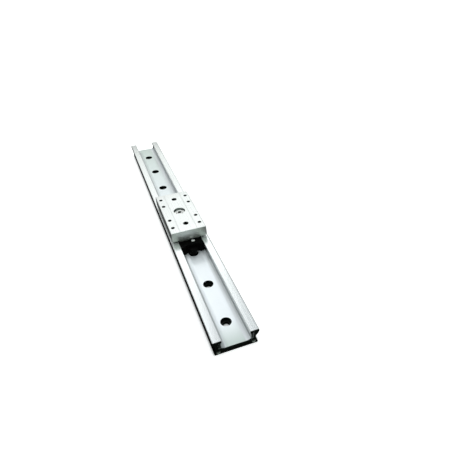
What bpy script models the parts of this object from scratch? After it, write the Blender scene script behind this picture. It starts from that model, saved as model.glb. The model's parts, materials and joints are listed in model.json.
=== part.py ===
"""Roller linear guide: a channel rail with a three-roller carriage running inside it.

Metres, +Z up. The origin is the middle of the rail's underside, X runs across the rail and
Y along it. The carriage stands at CARRIAGE_Y, its front end towards -Y. Two rollers, front
and rear, bear on the +X raceway. The middle one sits on an eccentric stud and bears on the
-X raceway, which takes the play out of the carriage.
"""

import math

import bmesh
import bpy
from mathutils import Matrix

GAP = 0.0003  # left between touching pieces
PAST = 0.001  # how far a cutter reaches past what it cuts

# Rail
RAIL_LENGTH = 0.652
RAIL_HEIGHT = 0.025
RAIL_FLOOR_Z = 0.0095
RAIL_HOLE_PITCH = 0.080
RAIL_HOLE_COUNT = 8
RAIL_NEAR_MARGIN = 0.040  # from the rail's -Y end to its first hole
FOOT_HALF_WIDTH = 0.0300
FOOT_CORNER_RADIUS = 0.0016
FOOT_TOP_Z = 0.0036
WAIST_CENTRE = (0.0312, 0.0121)
WAIST_RADIUS = 0.0040
BULGE_FOOT = (0.0306, 0.0172)
BULGE_CENTRE = (0.0300, 0.0210)
BULGE_RADIUS = 0.0022
SHOULDER_RADIUS = 0.0018
LIP_CORNER_RADIUS = 0.0006
LIP_OPENING = 0.0392  # between the two lips' inner faces
LIP_UNDERSIDE_Z = 0.0208
POCKET_FLOOR_Z = 0.0112
POCKET_BACK_X = 0.0242
FLOOR_HALF_WIDTH = 0.0143
FLANK_TOP_X = 0.0198
FLANK = ((0.0182, 0.0104), (0.0164, 0.0098))  # the curve from the pocket down to the floor
COUNTERBORE_RADIUS = 0.0075
COUNTERBORE_SEAT_Z = 0.0042
BOLT_HOLE_RADIUS = 0.0045
EDGE_BREAK = 0.0004
SCREW_PORT_RADIUS = 0.0020
SCREW_PORT_X = 0.0244
SCREW_PORT_Z = 0.0044

# Raceway liners
RACEWAY_Z = 0.0160
RACEWAY_DEEPEST_X = 0.02095
RACEWAY_RADIUS = 0.0106
LINER_HALF_HEIGHT = 0.0045

# Carriage plate
CARRIAGE_Y = -0.045
PLATE_LENGTH = 0.128
PLATE_WIDTH = 0.060
PLATE_BOTTOM_Z = 0.0285
PLATE_TOP_Z = 0.0456
PLATE_BEVEL = 0.0008
WEB_HALF_WIDTH = 0.0175
WEB_BOTTOM_Z = 0.0225
WEB_HALF_LENGTH = 0.0623
TONGUE_HALF_WIDTH = 0.0090
TONGUE_BOTTOM_Z = 0.0206
TONGUE_TOP_Z = 0.0238
TONGUE_ROOT = 0.0580
TONGUE_REACH = 0.0745
LINE_GROOVE_X = 0.0140
LINE_GROOVE_WIDTH = 0.0010
LINE_GROOVE_DEPTH = 0.0003
TAP_X = 0.0230
TAP_Y = (0.0240, 0.0475)
TAP_RADIUS = 0.0025
TAP_DEPTH = 0.0140
DRILL_POINT = 0.0014
STUD_HOLE_RADIUS = 0.0043
NUT_POCKET_RADIUS = 0.00975
NUT_POCKET_FLOOR_Z = 0.0385
ECCENTRIC_HOLE_RADIUS = 0.0063

# Rollers
ROLLER_PITCH = 0.042
ROLLER_RADIUS = 0.0200
ROLLER_HALF_HEIGHT = 0.0041
CROWN_RADIUS = 0.0100
CROWN_STEP = 0.0003  # from the crown's edge to the ring's face
RING_FACE_RADIUS = 0.0187
SEAL_SEAT_RADIUS = 0.0142
SIDE_OFFSET = 0.0006  # each roller's axis stands this far towards its own raceway
BALL_RADIUS = 0.0024
BALL_CIRCLE_RADIUS = 0.0115
BALL_COUNT = 8
OUTER_SHOULDER_RADIUS = 0.0134
INNER_SHOULDER_RADIUS = 0.0096
INNER_BORE_RADIUS = 0.0043
SEAL_THICKNESS = 0.0006
SEAL_OUTER_RADIUS = 0.0139
CAGE_HALF_HEIGHT = 0.0011
CAGE_HALF_WIDTH = 0.0010

# Studs, nut and washer
STUD_RADIUS = 0.0040
STUD_HEAD_RADIUS = 0.0064
STUD_HEAD_BOTTOM_Z = 0.0103
STUD_TOP_Z = 0.0385
STUD_SOCKET = 0.0040  # across flats
ECCENTRIC_RADIUS = 0.0060
ECCENTRIC_TOP_Z = 0.0431
ECCENTRIC_SOCKET = 0.0060
SOCKET_DEPTH = 0.0035
SPACER_RADIUS = 0.0066
WASHER_RADIUS = 0.0093
WASHER_THICKNESS = 0.0012
LOCK_NUT_RADIUS = 0.0089
LOCK_NUT_HEIGHT = 0.0024
NUT_SLOT_COUNT = 4
NUT_SLOT_HALF_WIDTH = 0.0011
NUT_SLOT_FLOOR = 0.0077  # from the nut's axis

# Wipers, at each end of the carriage; distances are from the carriage's middle
WIPER_BACK = 0.0626
WIPER_FRONT = 0.0802
WIPER_HALF_WIDTH = 0.0192
WIPER_BOTTOM_Z = 0.0099
WIPER_TOP_Z = 0.0258
WIPER_CORNER_RADIUS = 0.0024
WIPER_EDGE = 0.0008
WIPER_FOOT_HALF_WIDTH = 0.0138
WIPER_FLANK = (0.0184, 0.0117)
WIPER_FLANK_TOP_Z = 0.0126
NOSE_RADIUS = 0.0072
NOSE_TOP_Z = 0.0205
NOSE_STEP_HALF_WIDTH = 0.0102
NOSE_STEP_Y = 0.0770
SCALLOP_RADIUS = 0.0025
FELT_BACK = 0.0655
FELT_FRONT = 0.0765
FELT_INNER_X = 0.0150
FELT_OUTER_X = 0.0205
FELT_HALF_HEIGHT = 0.0034
FELT_EDGE = 0.0008
WIPER_SCREW_X = 0.0040
WIPER_SCREW_Y = 0.0685
WIPER_SCREW_RADIUS = 0.0015
WIPER_SCREW_END_Z = 0.0195
WIPER_SCREW_HEAD_RADIUS = 0.0029
WIPER_SCREW_HEAD_HEIGHT = 0.0018
WIPER_SCREW_DOME = ((0.72, 0.0), (0.92, 0.0005), (1.0, 0.0011))  # share of radius, depth below top
WIPER_SCREW_SOCKET = 0.0020  # across flats
WIPER_SCREW_SOCKET_DEPTH = 0.0011

HOLE_SIDES = 24
RING_SIDES = 32
SMALL_SIDES = 20
SCREW_SIDES = 16
SMOOTH_BELOW = math.radians(35)


# ---------------------------------------------------------------- scene and materials
def clear_scene():
    for obj in list(bpy.data.objects):
        bpy.data.objects.remove(obj, do_unlink=True)


def new_collection(name, parent):
    made = bpy.data.collections.new(name)
    parent.children.link(made)
    return made


def new_material(name, colour, metallic, roughness):
    made = bpy.data.materials.new(name)
    made.use_nodes = True
    shader = made.node_tree.nodes["Principled BSDF"]
    shader.inputs["Base Color"].default_value = (*colour, 1.0)
    shader.inputs["Metallic"].default_value = metallic
    shader.inputs["Roughness"].default_value = roughness
    made.diffuse_color = (*colour, 1.0)
    return made


clear_scene()
GUIDE = new_collection("linear_guide", bpy.context.scene.collection)
CUTTERS = new_collection("cutters", bpy.context.scene.collection)

ALUMINIUM = new_material("anodised_aluminium", (0.80, 0.82, 0.82), 1.0, 0.38)
RACE_STEEL = new_material("ground_steel", (0.62, 0.64, 0.65), 1.0, 0.22)
BEARING_STEEL = new_material("bearing_steel", (0.56, 0.57, 0.58), 1.0, 0.18)
ZINC = new_material("plated_steel", (0.66, 0.67, 0.66), 1.0, 0.30)
BLACK_PLASTIC = new_material("black_plastic", (0.012, 0.013, 0.013), 0.0, 0.45)
CAGE_PLASTIC = new_material("cage_plastic", (0.30, 0.20, 0.10), 0.0, 0.50)
FELT = new_material("oiled_felt", (0.20, 0.17, 0.12), 0.0, 0.95)


# ---------------------------------------------------------------- building blocks
def new_object(name, mesh, collection):
    made = bpy.data.objects.new(name, mesh)
    collection.objects.link(made)
    return made


def finish_part(obj, material, parent=None):
    """Gives a part its material and its parent. It keeps its place in the world."""
    obj.data.materials.clear()
    obj.data.materials.append(material)
    if parent is not None:
        obj.parent = parent
        obj.matrix_parent_inverse = Matrix.Translation(parent.matrix_world.translation).inverted()
    return obj


def axis_empty(name, at, parent=None):
    made = bpy.data.objects.new(name, None)
    made.location = at
    made.empty_display_size = 0.01
    GUIDE.objects.link(made)
    if parent is not None:
        made.parent = parent
        made.matrix_parent_inverse = parent.matrix_world.inverted()
    bpy.context.view_layer.update()
    return made


def box(name, low, high, collection=GUIDE):
    mesh = bpy.data.meshes.new(name)
    shape = bmesh.new()
    bmesh.ops.create_cube(shape, size=1.0)
    size = [top - bottom for bottom, top in zip(low, high)]
    middle = [(top + bottom) / 2 for bottom, top in zip(low, high)]
    bmesh.ops.scale(shape, vec=size, verts=shape.verts)
    bmesh.ops.translate(shape, vec=middle, verts=shape.verts)
    shape.to_mesh(mesh)
    shape.free()
    return new_object(name, mesh, collection)


def prism(name, radius, bottom, top, at, sides, collection=GUIDE, along="Z"):
    """A round or polygonal bar along Z from bottom to top, or along Y when along says so."""
    mesh = bpy.data.meshes.new(name)
    shape = bmesh.new()
    bmesh.ops.create_cone(
        shape, cap_ends=True, segments=sides, radius1=radius, radius2=radius, depth=top - bottom
    )
    bmesh.ops.translate(shape, vec=(0, 0, (top + bottom) / 2), verts=shape.verts)
    if along == "Y":
        to_y = Matrix.Rotation(-math.pi / 2, 4, "X")
        bmesh.ops.transform(shape, matrix=to_y, verts=shape.verts)
    shape.to_mesh(mesh)
    shape.free()
    made = new_object(name, mesh, collection)
    made.location = at
    return made


def hexagon(name, across_flats, bottom, top, at, collection):
    return prism(name, across_flats / math.sqrt(3), bottom, top, at, 6, collection)


def turned(name, profile, at, sides, collection=GUIDE, ring=False):
    """A profile of (radius, z) points turned about Z. It runs down its outer side.

    A ring's profile closes on itself. A solid's starts and ends on the axis.
    """
    mesh = bpy.data.meshes.new(name)
    edges = [(i, i + 1) for i in range(len(profile) - 1)]
    if ring:
        edges.append((len(profile) - 1, 0))
    mesh.from_pydata([(radius, 0, z) for radius, z in profile], edges, [])
    made = new_object(name, mesh, collection)
    made.location = at
    screw = made.modifiers.new("turn", "SCREW")
    screw.axis = "Z"
    screw.steps = sides
    screw.render_steps = sides
    screw.use_merge_vertices = True
    screw.merge_threshold = 0.00001
    screw.use_smooth_shade = True
    return made


def extruded(name, outline, half_length, along="Z", middle=0.0, collection=GUIDE):
    """An outline extruded by half_length each way: (x, y) points along Z, or (x, z) along Y."""
    curve = bpy.data.curves.new(name, "CURVE")
    curve.dimensions = "2D"
    curve.fill_mode = "BOTH"
    curve.extrude = half_length
    spline = curve.splines.new("POLY")
    spline.points.add(len(outline) - 1)
    for point, (u, v) in zip(spline.points, outline):
        point.co = (u, v, 0, 1)
    spline.use_cyclic_u = True
    drawn = bpy.data.objects.new(name, curve)
    bpy.context.scene.collection.objects.link(drawn)
    bpy.context.view_layer.update()
    graph = bpy.context.evaluated_depsgraph_get()
    mesh = bpy.data.meshes.new_from_object(drawn.evaluated_get(graph))
    bpy.data.objects.remove(drawn)
    if along == "Y":
        place = Matrix.Translation((0, middle, 0)) @ Matrix.Rotation(math.pi / 2, 4, "X")
    else:
        place = Matrix.Translation((0, 0, middle))
    shape = bmesh.new()
    shape.from_mesh(mesh)
    bmesh.ops.remove_doubles(shape, verts=shape.verts, dist=0.00001)
    bmesh.ops.transform(shape, matrix=place, verts=shape.verts)
    bmesh.ops.recalc_face_normals(shape, faces=shape.faces)
    shape.to_mesh(mesh)
    shape.free()
    mesh.shade_smooth()
    mesh.set_sharp_from_angle(angle=SMOOTH_BELOW)
    return new_object(name, mesh, collection)


def arc(centre, radius, start, end, steps):
    """Points on an arc from start to end, in degrees."""
    angles = [math.radians(start + (end - start) * i / steps) for i in range(steps + 1)]
    return [(centre[0] + radius * math.cos(a), centre[1] + radius * math.sin(a)) for a in angles]


def mirrored(half):
    """A closed outline from its +X half. A point on the mirror line isn't repeated."""
    return half + [(-u, v) for u, v in reversed(half) if abs(u) > 1e-9]


def boolean(target, other, operation):
    other.hide_render = True
    other.display_type = "WIRE"
    modifier = target.modifiers.new(other.name, "BOOLEAN")
    modifier.operation = operation
    modifier.solver = "EXACT"
    modifier.object = other
    return modifier


def boolean_all(target, others, operation):
    """One Boolean with every object of a collection made for it."""
    for other in others.objects:
        other.hide_render = True
        other.display_type = "WIRE"
    modifier = target.modifiers.new(others.name, "BOOLEAN")
    modifier.operation = operation
    modifier.solver = "EXACT"
    modifier.operand_type = "COLLECTION"
    modifier.collection = others
    return modifier


def bevel(obj, width, segments=2, angle=30):
    modifier = obj.modifiers.new("edges", "BEVEL")
    modifier.width = width
    modifier.segments = segments
    modifier.limit_method = "ANGLE"
    modifier.angle_limit = math.radians(angle)
    return modifier


# ---------------------------------------------------------------- rail
def rail_outline():
    """The extrusion's section: a channel on a flared foot, with a pocket under each lip."""
    inner = LIP_OPENING / 2
    top = RAIL_HEIGHT
    foot_corner = (FOOT_HALF_WIDTH - FOOT_CORNER_RADIUS, FOOT_CORNER_RADIUS)
    shoulder = (BULGE_CENTRE[0] + BULGE_RADIUS - SHOULDER_RADIUS, top - SHOULDER_RADIUS)
    lip_corner = (inner + LIP_CORNER_RADIUS, top - LIP_CORNER_RADIUS)
    half = [(0, 0)]
    half += arc(foot_corner, FOOT_CORNER_RADIUS, -90, 0, 3)
    half += [(FOOT_HALF_WIDTH, FOOT_TOP_Z)]
    half += arc(WAIST_CENTRE, WAIST_RADIUS, 215, 145, 4)
    half += [BULGE_FOOT]
    half += arc(BULGE_CENTRE, BULGE_RADIUS, -40, 0, 2)
    half += arc(shoulder, SHOULDER_RADIUS, 0, 90, 4)
    half += arc(lip_corner, LIP_CORNER_RADIUS, 90, 180, 2)
    half += [(inner, LIP_UNDERSIDE_Z), (POCKET_BACK_X, LIP_UNDERSIDE_Z)]
    half += [(POCKET_BACK_X, POCKET_FLOOR_Z), (FLANK_TOP_X, POCKET_FLOOR_Z), *FLANK]
    half += [(FLOOR_HALF_WIDTH, RAIL_FLOOR_Z), (0, RAIL_FLOOR_Z)]
    return mirrored(half)


def rail_hole_profile():
    """A counterbored bolt hole as a cutter: broken edge, counterbore, through hole."""
    return [
        (0, RAIL_FLOOR_Z + PAST),
        (COUNTERBORE_RADIUS + EDGE_BREAK + PAST, RAIL_FLOOR_Z + PAST),
        (COUNTERBORE_RADIUS, RAIL_FLOOR_Z - EDGE_BREAK),
        (COUNTERBORE_RADIUS, COUNTERBORE_SEAT_Z),
        (BOLT_HOLE_RADIUS, COUNTERBORE_SEAT_Z),
        (BOLT_HOLE_RADIUS, -PAST),
        (0, -PAST),
    ]


def make_rail():
    rail = extruded("rail", rail_outline(), RAIL_LENGTH / 2, along="Y")
    holes = new_collection("rail_holes", CUTTERS)
    first = RAIL_NEAR_MARGIN - RAIL_LENGTH / 2
    for i in range(RAIL_HOLE_COUNT):
        at = (0, first + i * RAIL_HOLE_PITCH, 0)
        turned(f"rail_hole_{i + 1}", rail_hole_profile(), at, HOLE_SIDES, holes)
    for side, sign in (("left", -1), ("right", 1)):
        at = (sign * SCREW_PORT_X, 0, SCREW_PORT_Z)
        reach = RAIL_LENGTH / 2 + PAST
        name = f"screw_port_{side}"
        prism(name, SCREW_PORT_RADIUS, -reach, reach, at, SCREW_SIDES, holes, along="Y")
    boolean_all(rail, holes, "DIFFERENCE")
    return finish_part(rail, ALUMINIUM)


def liner_outline():
    """The right liner's section: flat back, hollow raceway in front."""
    centre = (RACEWAY_DEEPEST_X - RACEWAY_RADIUS, RACEWAY_Z)
    reach = math.degrees(math.asin(LINER_HALF_HEIGHT / RACEWAY_RADIUS))
    back = POCKET_BACK_X - GAP
    outline = arc(centre, RACEWAY_RADIUS, -reach, reach, 8)
    return outline + [
        (back, RACEWAY_Z + LINER_HALF_HEIGHT),
        (back, RACEWAY_Z - LINER_HALF_HEIGHT),
    ]


def make_liners():
    for side, sign in (("left", -1), ("right", 1)):
        outline = [(sign * x, z) for x, z in liner_outline()]
        liner = extruded(f"raceway_{side}", outline, RAIL_LENGTH / 2 - GAP, along="Y")
        finish_part(liner, RACE_STEEL)


# ---------------------------------------------------------------- carriage plate
def plate_holes(plate_cuts):
    top = PLATE_TOP_Z + PAST
    mouth = EDGE_BREAK + PAST
    for column, sign in (("left", -1), ("right", 1)):
        for row, y in enumerate((-TAP_Y[1], -TAP_Y[0], TAP_Y[0], TAP_Y[1])):
            name = f"tapped_hole_{column}_{row + 1}"
            profile = [
                (0, top),
                (TAP_RADIUS + mouth, top),
                (TAP_RADIUS, PLATE_TOP_Z - EDGE_BREAK),
                (TAP_RADIUS, PLATE_TOP_Z - TAP_DEPTH),
                (0, PLATE_TOP_Z - TAP_DEPTH - DRILL_POINT),
            ]
            turned(name, profile, (sign * TAP_X, CARRIAGE_Y + y, 0), HOLE_SIDES, plate_cuts)
    for end, sign in (("front", -1), ("rear", 1)):
        at = (SIDE_OFFSET, CARRIAGE_Y + sign * ROLLER_PITCH, 0)
        profile = [
            (0, top),
            (STUD_HOLE_RADIUS + mouth, top),
            (STUD_HOLE_RADIUS, PLATE_TOP_Z - EDGE_BREAK),
            (STUD_HOLE_RADIUS, WEB_BOTTOM_Z - PAST),
            (0, WEB_BOTTOM_Z - PAST),
        ]
        turned(f"stud_hole_{end}", profile, at, HOLE_SIDES, plate_cuts)
        screw_at = (-sign * WIPER_SCREW_X, CARRIAGE_Y + sign * WIPER_SCREW_Y, 0)
        radius = WIPER_SCREW_RADIUS + GAP
        low, high = TONGUE_BOTTOM_Z - PAST, TONGUE_TOP_Z + PAST
        prism(f"tongue_hole_{end}", radius, low, high, screw_at, SCREW_SIDES, plate_cuts)
    pocket = [
        (0, top),
        (NUT_POCKET_RADIUS + mouth, top),
        (NUT_POCKET_RADIUS, PLATE_TOP_Z - EDGE_BREAK),
        (NUT_POCKET_RADIUS, NUT_POCKET_FLOOR_Z),
        (ECCENTRIC_HOLE_RADIUS, NUT_POCKET_FLOOR_Z),
        (ECCENTRIC_HOLE_RADIUS, WEB_BOTTOM_Z - PAST),
        (0, WEB_BOTTOM_Z - PAST),
    ]
    turned("nut_pocket", pocket, (0, CARRIAGE_Y, 0), RING_SIDES, plate_cuts)


def make_plate(carriage):
    half_width = PLATE_WIDTH / 2
    near = CARRIAGE_Y - PLATE_LENGTH / 2
    far = CARRIAGE_Y + PLATE_LENGTH / 2
    plate = box(
        "carriage_plate", (-half_width, near, PLATE_BOTTOM_Z), (half_width, far, PLATE_TOP_Z)
    )
    bevel(plate, PLATE_BEVEL)
    web = box(
        "web",
        (-WEB_HALF_WIDTH, CARRIAGE_Y - WEB_HALF_LENGTH, WEB_BOTTOM_Z),
        (WEB_HALF_WIDTH, CARRIAGE_Y + WEB_HALF_LENGTH, PLATE_BOTTOM_Z + PAST),
        CUTTERS,
    )
    boolean(plate, web, "UNION")
    for end, sign in (("front", -1), ("rear", 1)):
        ends = sorted((sign * TONGUE_ROOT, sign * TONGUE_REACH))
        tongue = box(
            f"tongue_{end}",
            (-TONGUE_HALF_WIDTH, CARRIAGE_Y + ends[0], TONGUE_BOTTOM_Z),
            (TONGUE_HALF_WIDTH, CARRIAGE_Y + ends[1], TONGUE_TOP_Z),
            CUTTERS,
        )
        boolean(plate, tongue, "UNION")
    cuts = new_collection("plate_cuts", CUTTERS)
    plate_holes(cuts)
    for side, sign in (("left", -1), ("right", 1)):
        xs = sorted((sign * LINE_GROOVE_X, sign * (LINE_GROOVE_X + LINE_GROOVE_WIDTH)))
        box(
            f"line_groove_{side}",
            (xs[0], near - PAST, PLATE_TOP_Z - LINE_GROOVE_DEPTH),
            (xs[1], far + PAST, PLATE_TOP_Z + PAST),
            cuts,
        )
    boolean_all(plate, cuts, "DIFFERENCE")
    finish_part(plate, ALUMINIUM, carriage)


# ---------------------------------------------------------------- rollers
def outer_ring_profile():
    """Crowned outside, ball groove inside, with a step at each face for the seal."""
    half = ROLLER_HALF_HEIGHT
    crown_centre = (ROLLER_RADIUS - CROWN_RADIUS, RACEWAY_Z)
    reach = math.degrees(math.asin((half - CROWN_STEP) / CROWN_RADIUS))
    outside = arc(crown_centre, CROWN_RADIUS, reach, -reach, 4)
    groove_radius = BALL_RADIUS + GAP
    lip = OUTER_SHOULDER_RADIUS
    groove_reach = math.degrees(math.acos((lip - BALL_CIRCLE_RADIUS) / groove_radius))
    groove = arc((BALL_CIRCLE_RADIUS, RACEWAY_Z), groove_radius, -groove_reach, groove_reach, 2)
    step = SEAL_THICKNESS + 2 * GAP
    return (
        outside
        + [(RING_FACE_RADIUS, RACEWAY_Z - half), (SEAL_SEAT_RADIUS, RACEWAY_Z - half)]
        + [(SEAL_SEAT_RADIUS, RACEWAY_Z - half + step), (lip, RACEWAY_Z - half + step)]
        + groove
        + [(lip, RACEWAY_Z + half - step), (SEAL_SEAT_RADIUS, RACEWAY_Z + half - step)]
        + [(SEAL_SEAT_RADIUS, RACEWAY_Z + half), (RING_FACE_RADIUS, RACEWAY_Z + half)]
    )


def inner_ring_profile():
    half = ROLLER_HALF_HEIGHT
    groove_radius = BALL_RADIUS + GAP
    shoulder = INNER_SHOULDER_RADIUS
    reach = math.degrees(math.acos((BALL_CIRCLE_RADIUS - shoulder) / groove_radius))
    centre = (BALL_CIRCLE_RADIUS, RACEWAY_Z)
    groove = arc(centre, groove_radius, 180 - reach, 180 + reach, 2)
    return (
        [(shoulder, RACEWAY_Z + half)]
        + groove
        + [(shoulder, RACEWAY_Z - half), (INNER_BORE_RADIUS, RACEWAY_Z - half)]
        + [(INNER_BORE_RADIUS, RACEWAY_Z + half)]
    )


def make_ball_cage(name, at, parent):
    """The cage's ring with its balls, joined into one solid."""
    half = CAGE_HALF_HEIGHT
    inner = BALL_CIRCLE_RADIUS - CAGE_HALF_WIDTH
    outer = BALL_CIRCLE_RADIUS + CAGE_HALF_WIDTH
    profile = [(outer, half), (outer, -half), (inner, -half), (inner, half)]
    centre = (at[0], at[1], RACEWAY_Z)
    cage = turned(name, profile, centre, SMALL_SIDES, ring=True)
    balls = new_collection(f"{name}_balls", CUTTERS)
    for i in range(BALL_COUNT):
        angle = 2 * math.pi * (i + 0.5) / BALL_COUNT
        mesh = bpy.data.meshes.new(f"{name}_ball_{i + 1}")
        shape = bmesh.new()
        bmesh.ops.create_uvsphere(shape, u_segments=8, v_segments=6, radius=BALL_RADIUS)
        shape.to_mesh(mesh)
        shape.free()
        ball = new_object(mesh.name, mesh, balls)
        ball.location = (
            centre[0] + BALL_CIRCLE_RADIUS * math.cos(angle),
            centre[1] + BALL_CIRCLE_RADIUS * math.sin(angle),
            RACEWAY_Z,
        )
    boolean_all(cage, balls, "UNION")
    finish_part(cage, CAGE_PLASTIC, parent)


def make_bearing(end, at, ring_parent, spin_parent, cage_parent):
    """One roller: crowned outer ring, inner ring, cage with balls and two seals."""
    outer = turned(f"outer_ring_{end}", outer_ring_profile(), at, RING_SIDES, ring=True)
    finish_part(outer, BEARING_STEEL, spin_parent)
    inner = turned(f"inner_ring_{end}", inner_ring_profile(), at, SMALL_SIDES, ring=True)
    finish_part(inner, BEARING_STEEL, ring_parent)
    make_ball_cage(f"ball_cage_{end}", at, cage_parent)
    seal_in = INNER_SHOULDER_RADIUS + GAP
    for level, sign in (("lower", -1), ("upper", 1)):
        face = RACEWAY_Z + sign * (ROLLER_HALF_HEIGHT - GAP)
        bottom, top = sorted((face, face - sign * SEAL_THICKNESS))
        profile = [
            (SEAL_OUTER_RADIUS, top),
            (SEAL_OUTER_RADIUS, bottom),
            (seal_in, bottom),
            (seal_in, top),
        ]
        seal = turned(f"seal_{level}_{end}", profile, at, SMALL_SIDES, ring=True)
        finish_part(seal, BLACK_PLASTIC, spin_parent)


def fixed_stud_profile():
    ring_bottom = RACEWAY_Z - ROLLER_HALF_HEIGHT
    return [
        (0, STUD_TOP_Z),
        (STUD_RADIUS - EDGE_BREAK, STUD_TOP_Z),
        (STUD_RADIUS, STUD_TOP_Z - EDGE_BREAK),
        (STUD_RADIUS, ring_bottom - GAP),
        (STUD_HEAD_RADIUS, ring_bottom - GAP),
        (STUD_HEAD_RADIUS, STUD_HEAD_BOTTOM_Z),
        (0, STUD_HEAD_BOTTOM_Z),
    ]


def make_fixed_stud(end, at, parent):
    """A concentric stud: head under the roller, shank up into the plate, hexagon socket on top."""
    stud = turned(f"stud_{end}", fixed_stud_profile(), at, SMALL_SIDES)
    low, high = STUD_TOP_Z - SOCKET_DEPTH, STUD_TOP_Z + PAST
    socket = hexagon(f"socket_{end}", STUD_SOCKET, low, high, at, CUTTERS)
    boolean(stud, socket, "DIFFERENCE")
    finish_part(stud, ZINC, parent)
    bore = STUD_RADIUS + GAP
    bottom = RACEWAY_Z + ROLLER_HALF_HEIGHT + GAP
    top = WEB_BOTTOM_Z - GAP
    profile = [(SPACER_RADIUS, top), (SPACER_RADIUS, bottom), (bore, bottom), (bore, top)]
    finish_part(turned(f"spacer_{end}", profile, at, SMALL_SIDES, ring=True), ZINC, parent)


def make_eccentric_stud(shank_at, journal_at, parent):
    """The middle stud: a journal set off from the shank's axis, so that turning it moves the roller."""
    shank_bottom = RACEWAY_Z + ROLLER_HALF_HEIGHT + GAP
    shank = [
        (0, ECCENTRIC_TOP_Z),
        (ECCENTRIC_RADIUS - EDGE_BREAK, ECCENTRIC_TOP_Z),
        (ECCENTRIC_RADIUS, ECCENTRIC_TOP_Z - EDGE_BREAK),
        (ECCENTRIC_RADIUS, shank_bottom),
        (0, shank_bottom),
    ]
    stud = turned("stud_middle", shank, shank_at, RING_SIDES)
    ring_bottom = RACEWAY_Z - ROLLER_HALF_HEIGHT
    journal = [
        (0, shank_bottom + PAST),
        (STUD_RADIUS, shank_bottom + PAST),
        (STUD_RADIUS, ring_bottom - GAP),
        (STUD_HEAD_RADIUS, ring_bottom - GAP),
        (STUD_HEAD_RADIUS, STUD_HEAD_BOTTOM_Z),
        (0, STUD_HEAD_BOTTOM_Z),
    ]
    boolean(stud, turned("journal_middle", journal, journal_at, SMALL_SIDES, CUTTERS), "UNION")
    low = ECCENTRIC_TOP_Z - SOCKET_DEPTH
    high = ECCENTRIC_TOP_Z + PAST
    socket = hexagon("socket_middle", ECCENTRIC_SOCKET, low, high, shank_at, CUTTERS)
    boolean(stud, socket, "DIFFERENCE")
    finish_part(stud, ZINC, parent)


def make_lock_nut(at, parent):
    """A washer and a slotted round nut, which clamp the eccentric stud in the plate."""
    bore = ECCENTRIC_RADIUS + GAP
    low = NUT_POCKET_FLOOR_Z + GAP
    high = low + WASHER_THICKNESS
    profile = [(WASHER_RADIUS, high), (WASHER_RADIUS, low), (bore, low), (bore, high)]
    finish_part(turned("lock_washer", profile, at, RING_SIDES, ring=True), ZINC, parent)
    low = high + GAP
    high = low + LOCK_NUT_HEIGHT
    rim = LOCK_NUT_RADIUS
    profile = [
        (rim - EDGE_BREAK, high),
        (rim, high - EDGE_BREAK),
        (rim, low),
        (bore, low),
        (bore, high - EDGE_BREAK),
        (bore + EDGE_BREAK, high),
    ]
    nut = turned("lock_nut", profile, at, RING_SIDES, ring=True)
    slots = new_collection("lock_nut_slots", CUTTERS)
    for i in range(NUT_SLOT_COUNT):
        slot = box(
            f"nut_slot_{i + 1}",
            (NUT_SLOT_FLOOR, -NUT_SLOT_HALF_WIDTH, low - PAST),
            (rim + PAST, NUT_SLOT_HALF_WIDTH, high + PAST),
            slots,
        )
        slot.location = at
        slot.rotation_euler = (0, 0, 2 * math.pi * (i + 0.5) / NUT_SLOT_COUNT)
    boolean_all(nut, slots, "DIFFERENCE")
    finish_part(nut, ZINC, parent)


# ---------------------------------------------------------------- wipers
def wiper_plan():
    """The wiper from above, for the end towards -Y: a rounded nose between two scallops.

    It is drawn a little wide, because the section cuts it to width.
    """
    width = WIPER_HALF_WIDTH + PAST
    front = -WIPER_FRONT
    notch_x = NOSE_RADIUS + SCALLOP_RADIUS
    corner = (width - WIPER_CORNER_RADIUS, front + WIPER_CORNER_RADIUS)
    half = [(width, -WIPER_BACK)]
    half += arc(corner, WIPER_CORNER_RADIUS, 0, -90, 4)
    half += arc((notch_x, front), SCALLOP_RADIUS, 0, 180, 6)
    half += arc((0, front), NOSE_RADIUS, 0, -90, 8)[1:]
    return mirrored(half)


def wiper_section():
    """The wiper from the front: narrow at the floor, full width between the lips."""
    half = [
        (WIPER_FOOT_HALF_WIDTH, WIPER_BOTTOM_Z),
        WIPER_FLANK,
        (WIPER_HALF_WIDTH, WIPER_FLANK_TOP_Z),
        (WIPER_HALF_WIDTH, WIPER_TOP_Z - WIPER_EDGE),
        (WIPER_HALF_WIDTH - WIPER_EDGE, WIPER_TOP_Z),
    ]
    return mirrored(half)


def move_to_end(pieces, end):
    """Moves pieces, made for the -Y end about the origin, to their end of the carriage."""
    bpy.context.view_layer.update()
    turn = Matrix.Rotation(0 if end == "front" else math.pi, 4, "Z")
    for piece in pieces:
        piece.matrix_world = Matrix.Translation((0, CARRIAGE_Y, 0)) @ turn @ piece.matrix_world
    bpy.context.view_layer.update()


def make_felt(name, sign, end, carriage):
    xs = sorted((sign * FELT_INNER_X, sign * FELT_OUTER_X))
    low = (xs[0], -FELT_FRONT, RACEWAY_Z - FELT_HALF_HEIGHT)
    high = (xs[1], -FELT_BACK, RACEWAY_Z + FELT_HALF_HEIGHT)
    felt = box(name, low, high)
    bevel(felt, FELT_EDGE, segments=1)
    move_to_end([felt], end)
    finish_part(felt, FELT, carriage)


def felt_pocket(name, sign, cuts):
    """The room for a felt pad, open on the raceway's side."""
    xs = sorted((sign * (FELT_INNER_X - GAP), sign * (WIPER_HALF_WIDTH + PAST)))
    half = FELT_HALF_HEIGHT + GAP
    low = (xs[0], -FELT_FRONT - GAP, RACEWAY_Z - half)
    high = (xs[1], -FELT_BACK + GAP, RACEWAY_Z + half)
    return box(name, low, high, cuts)


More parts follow.
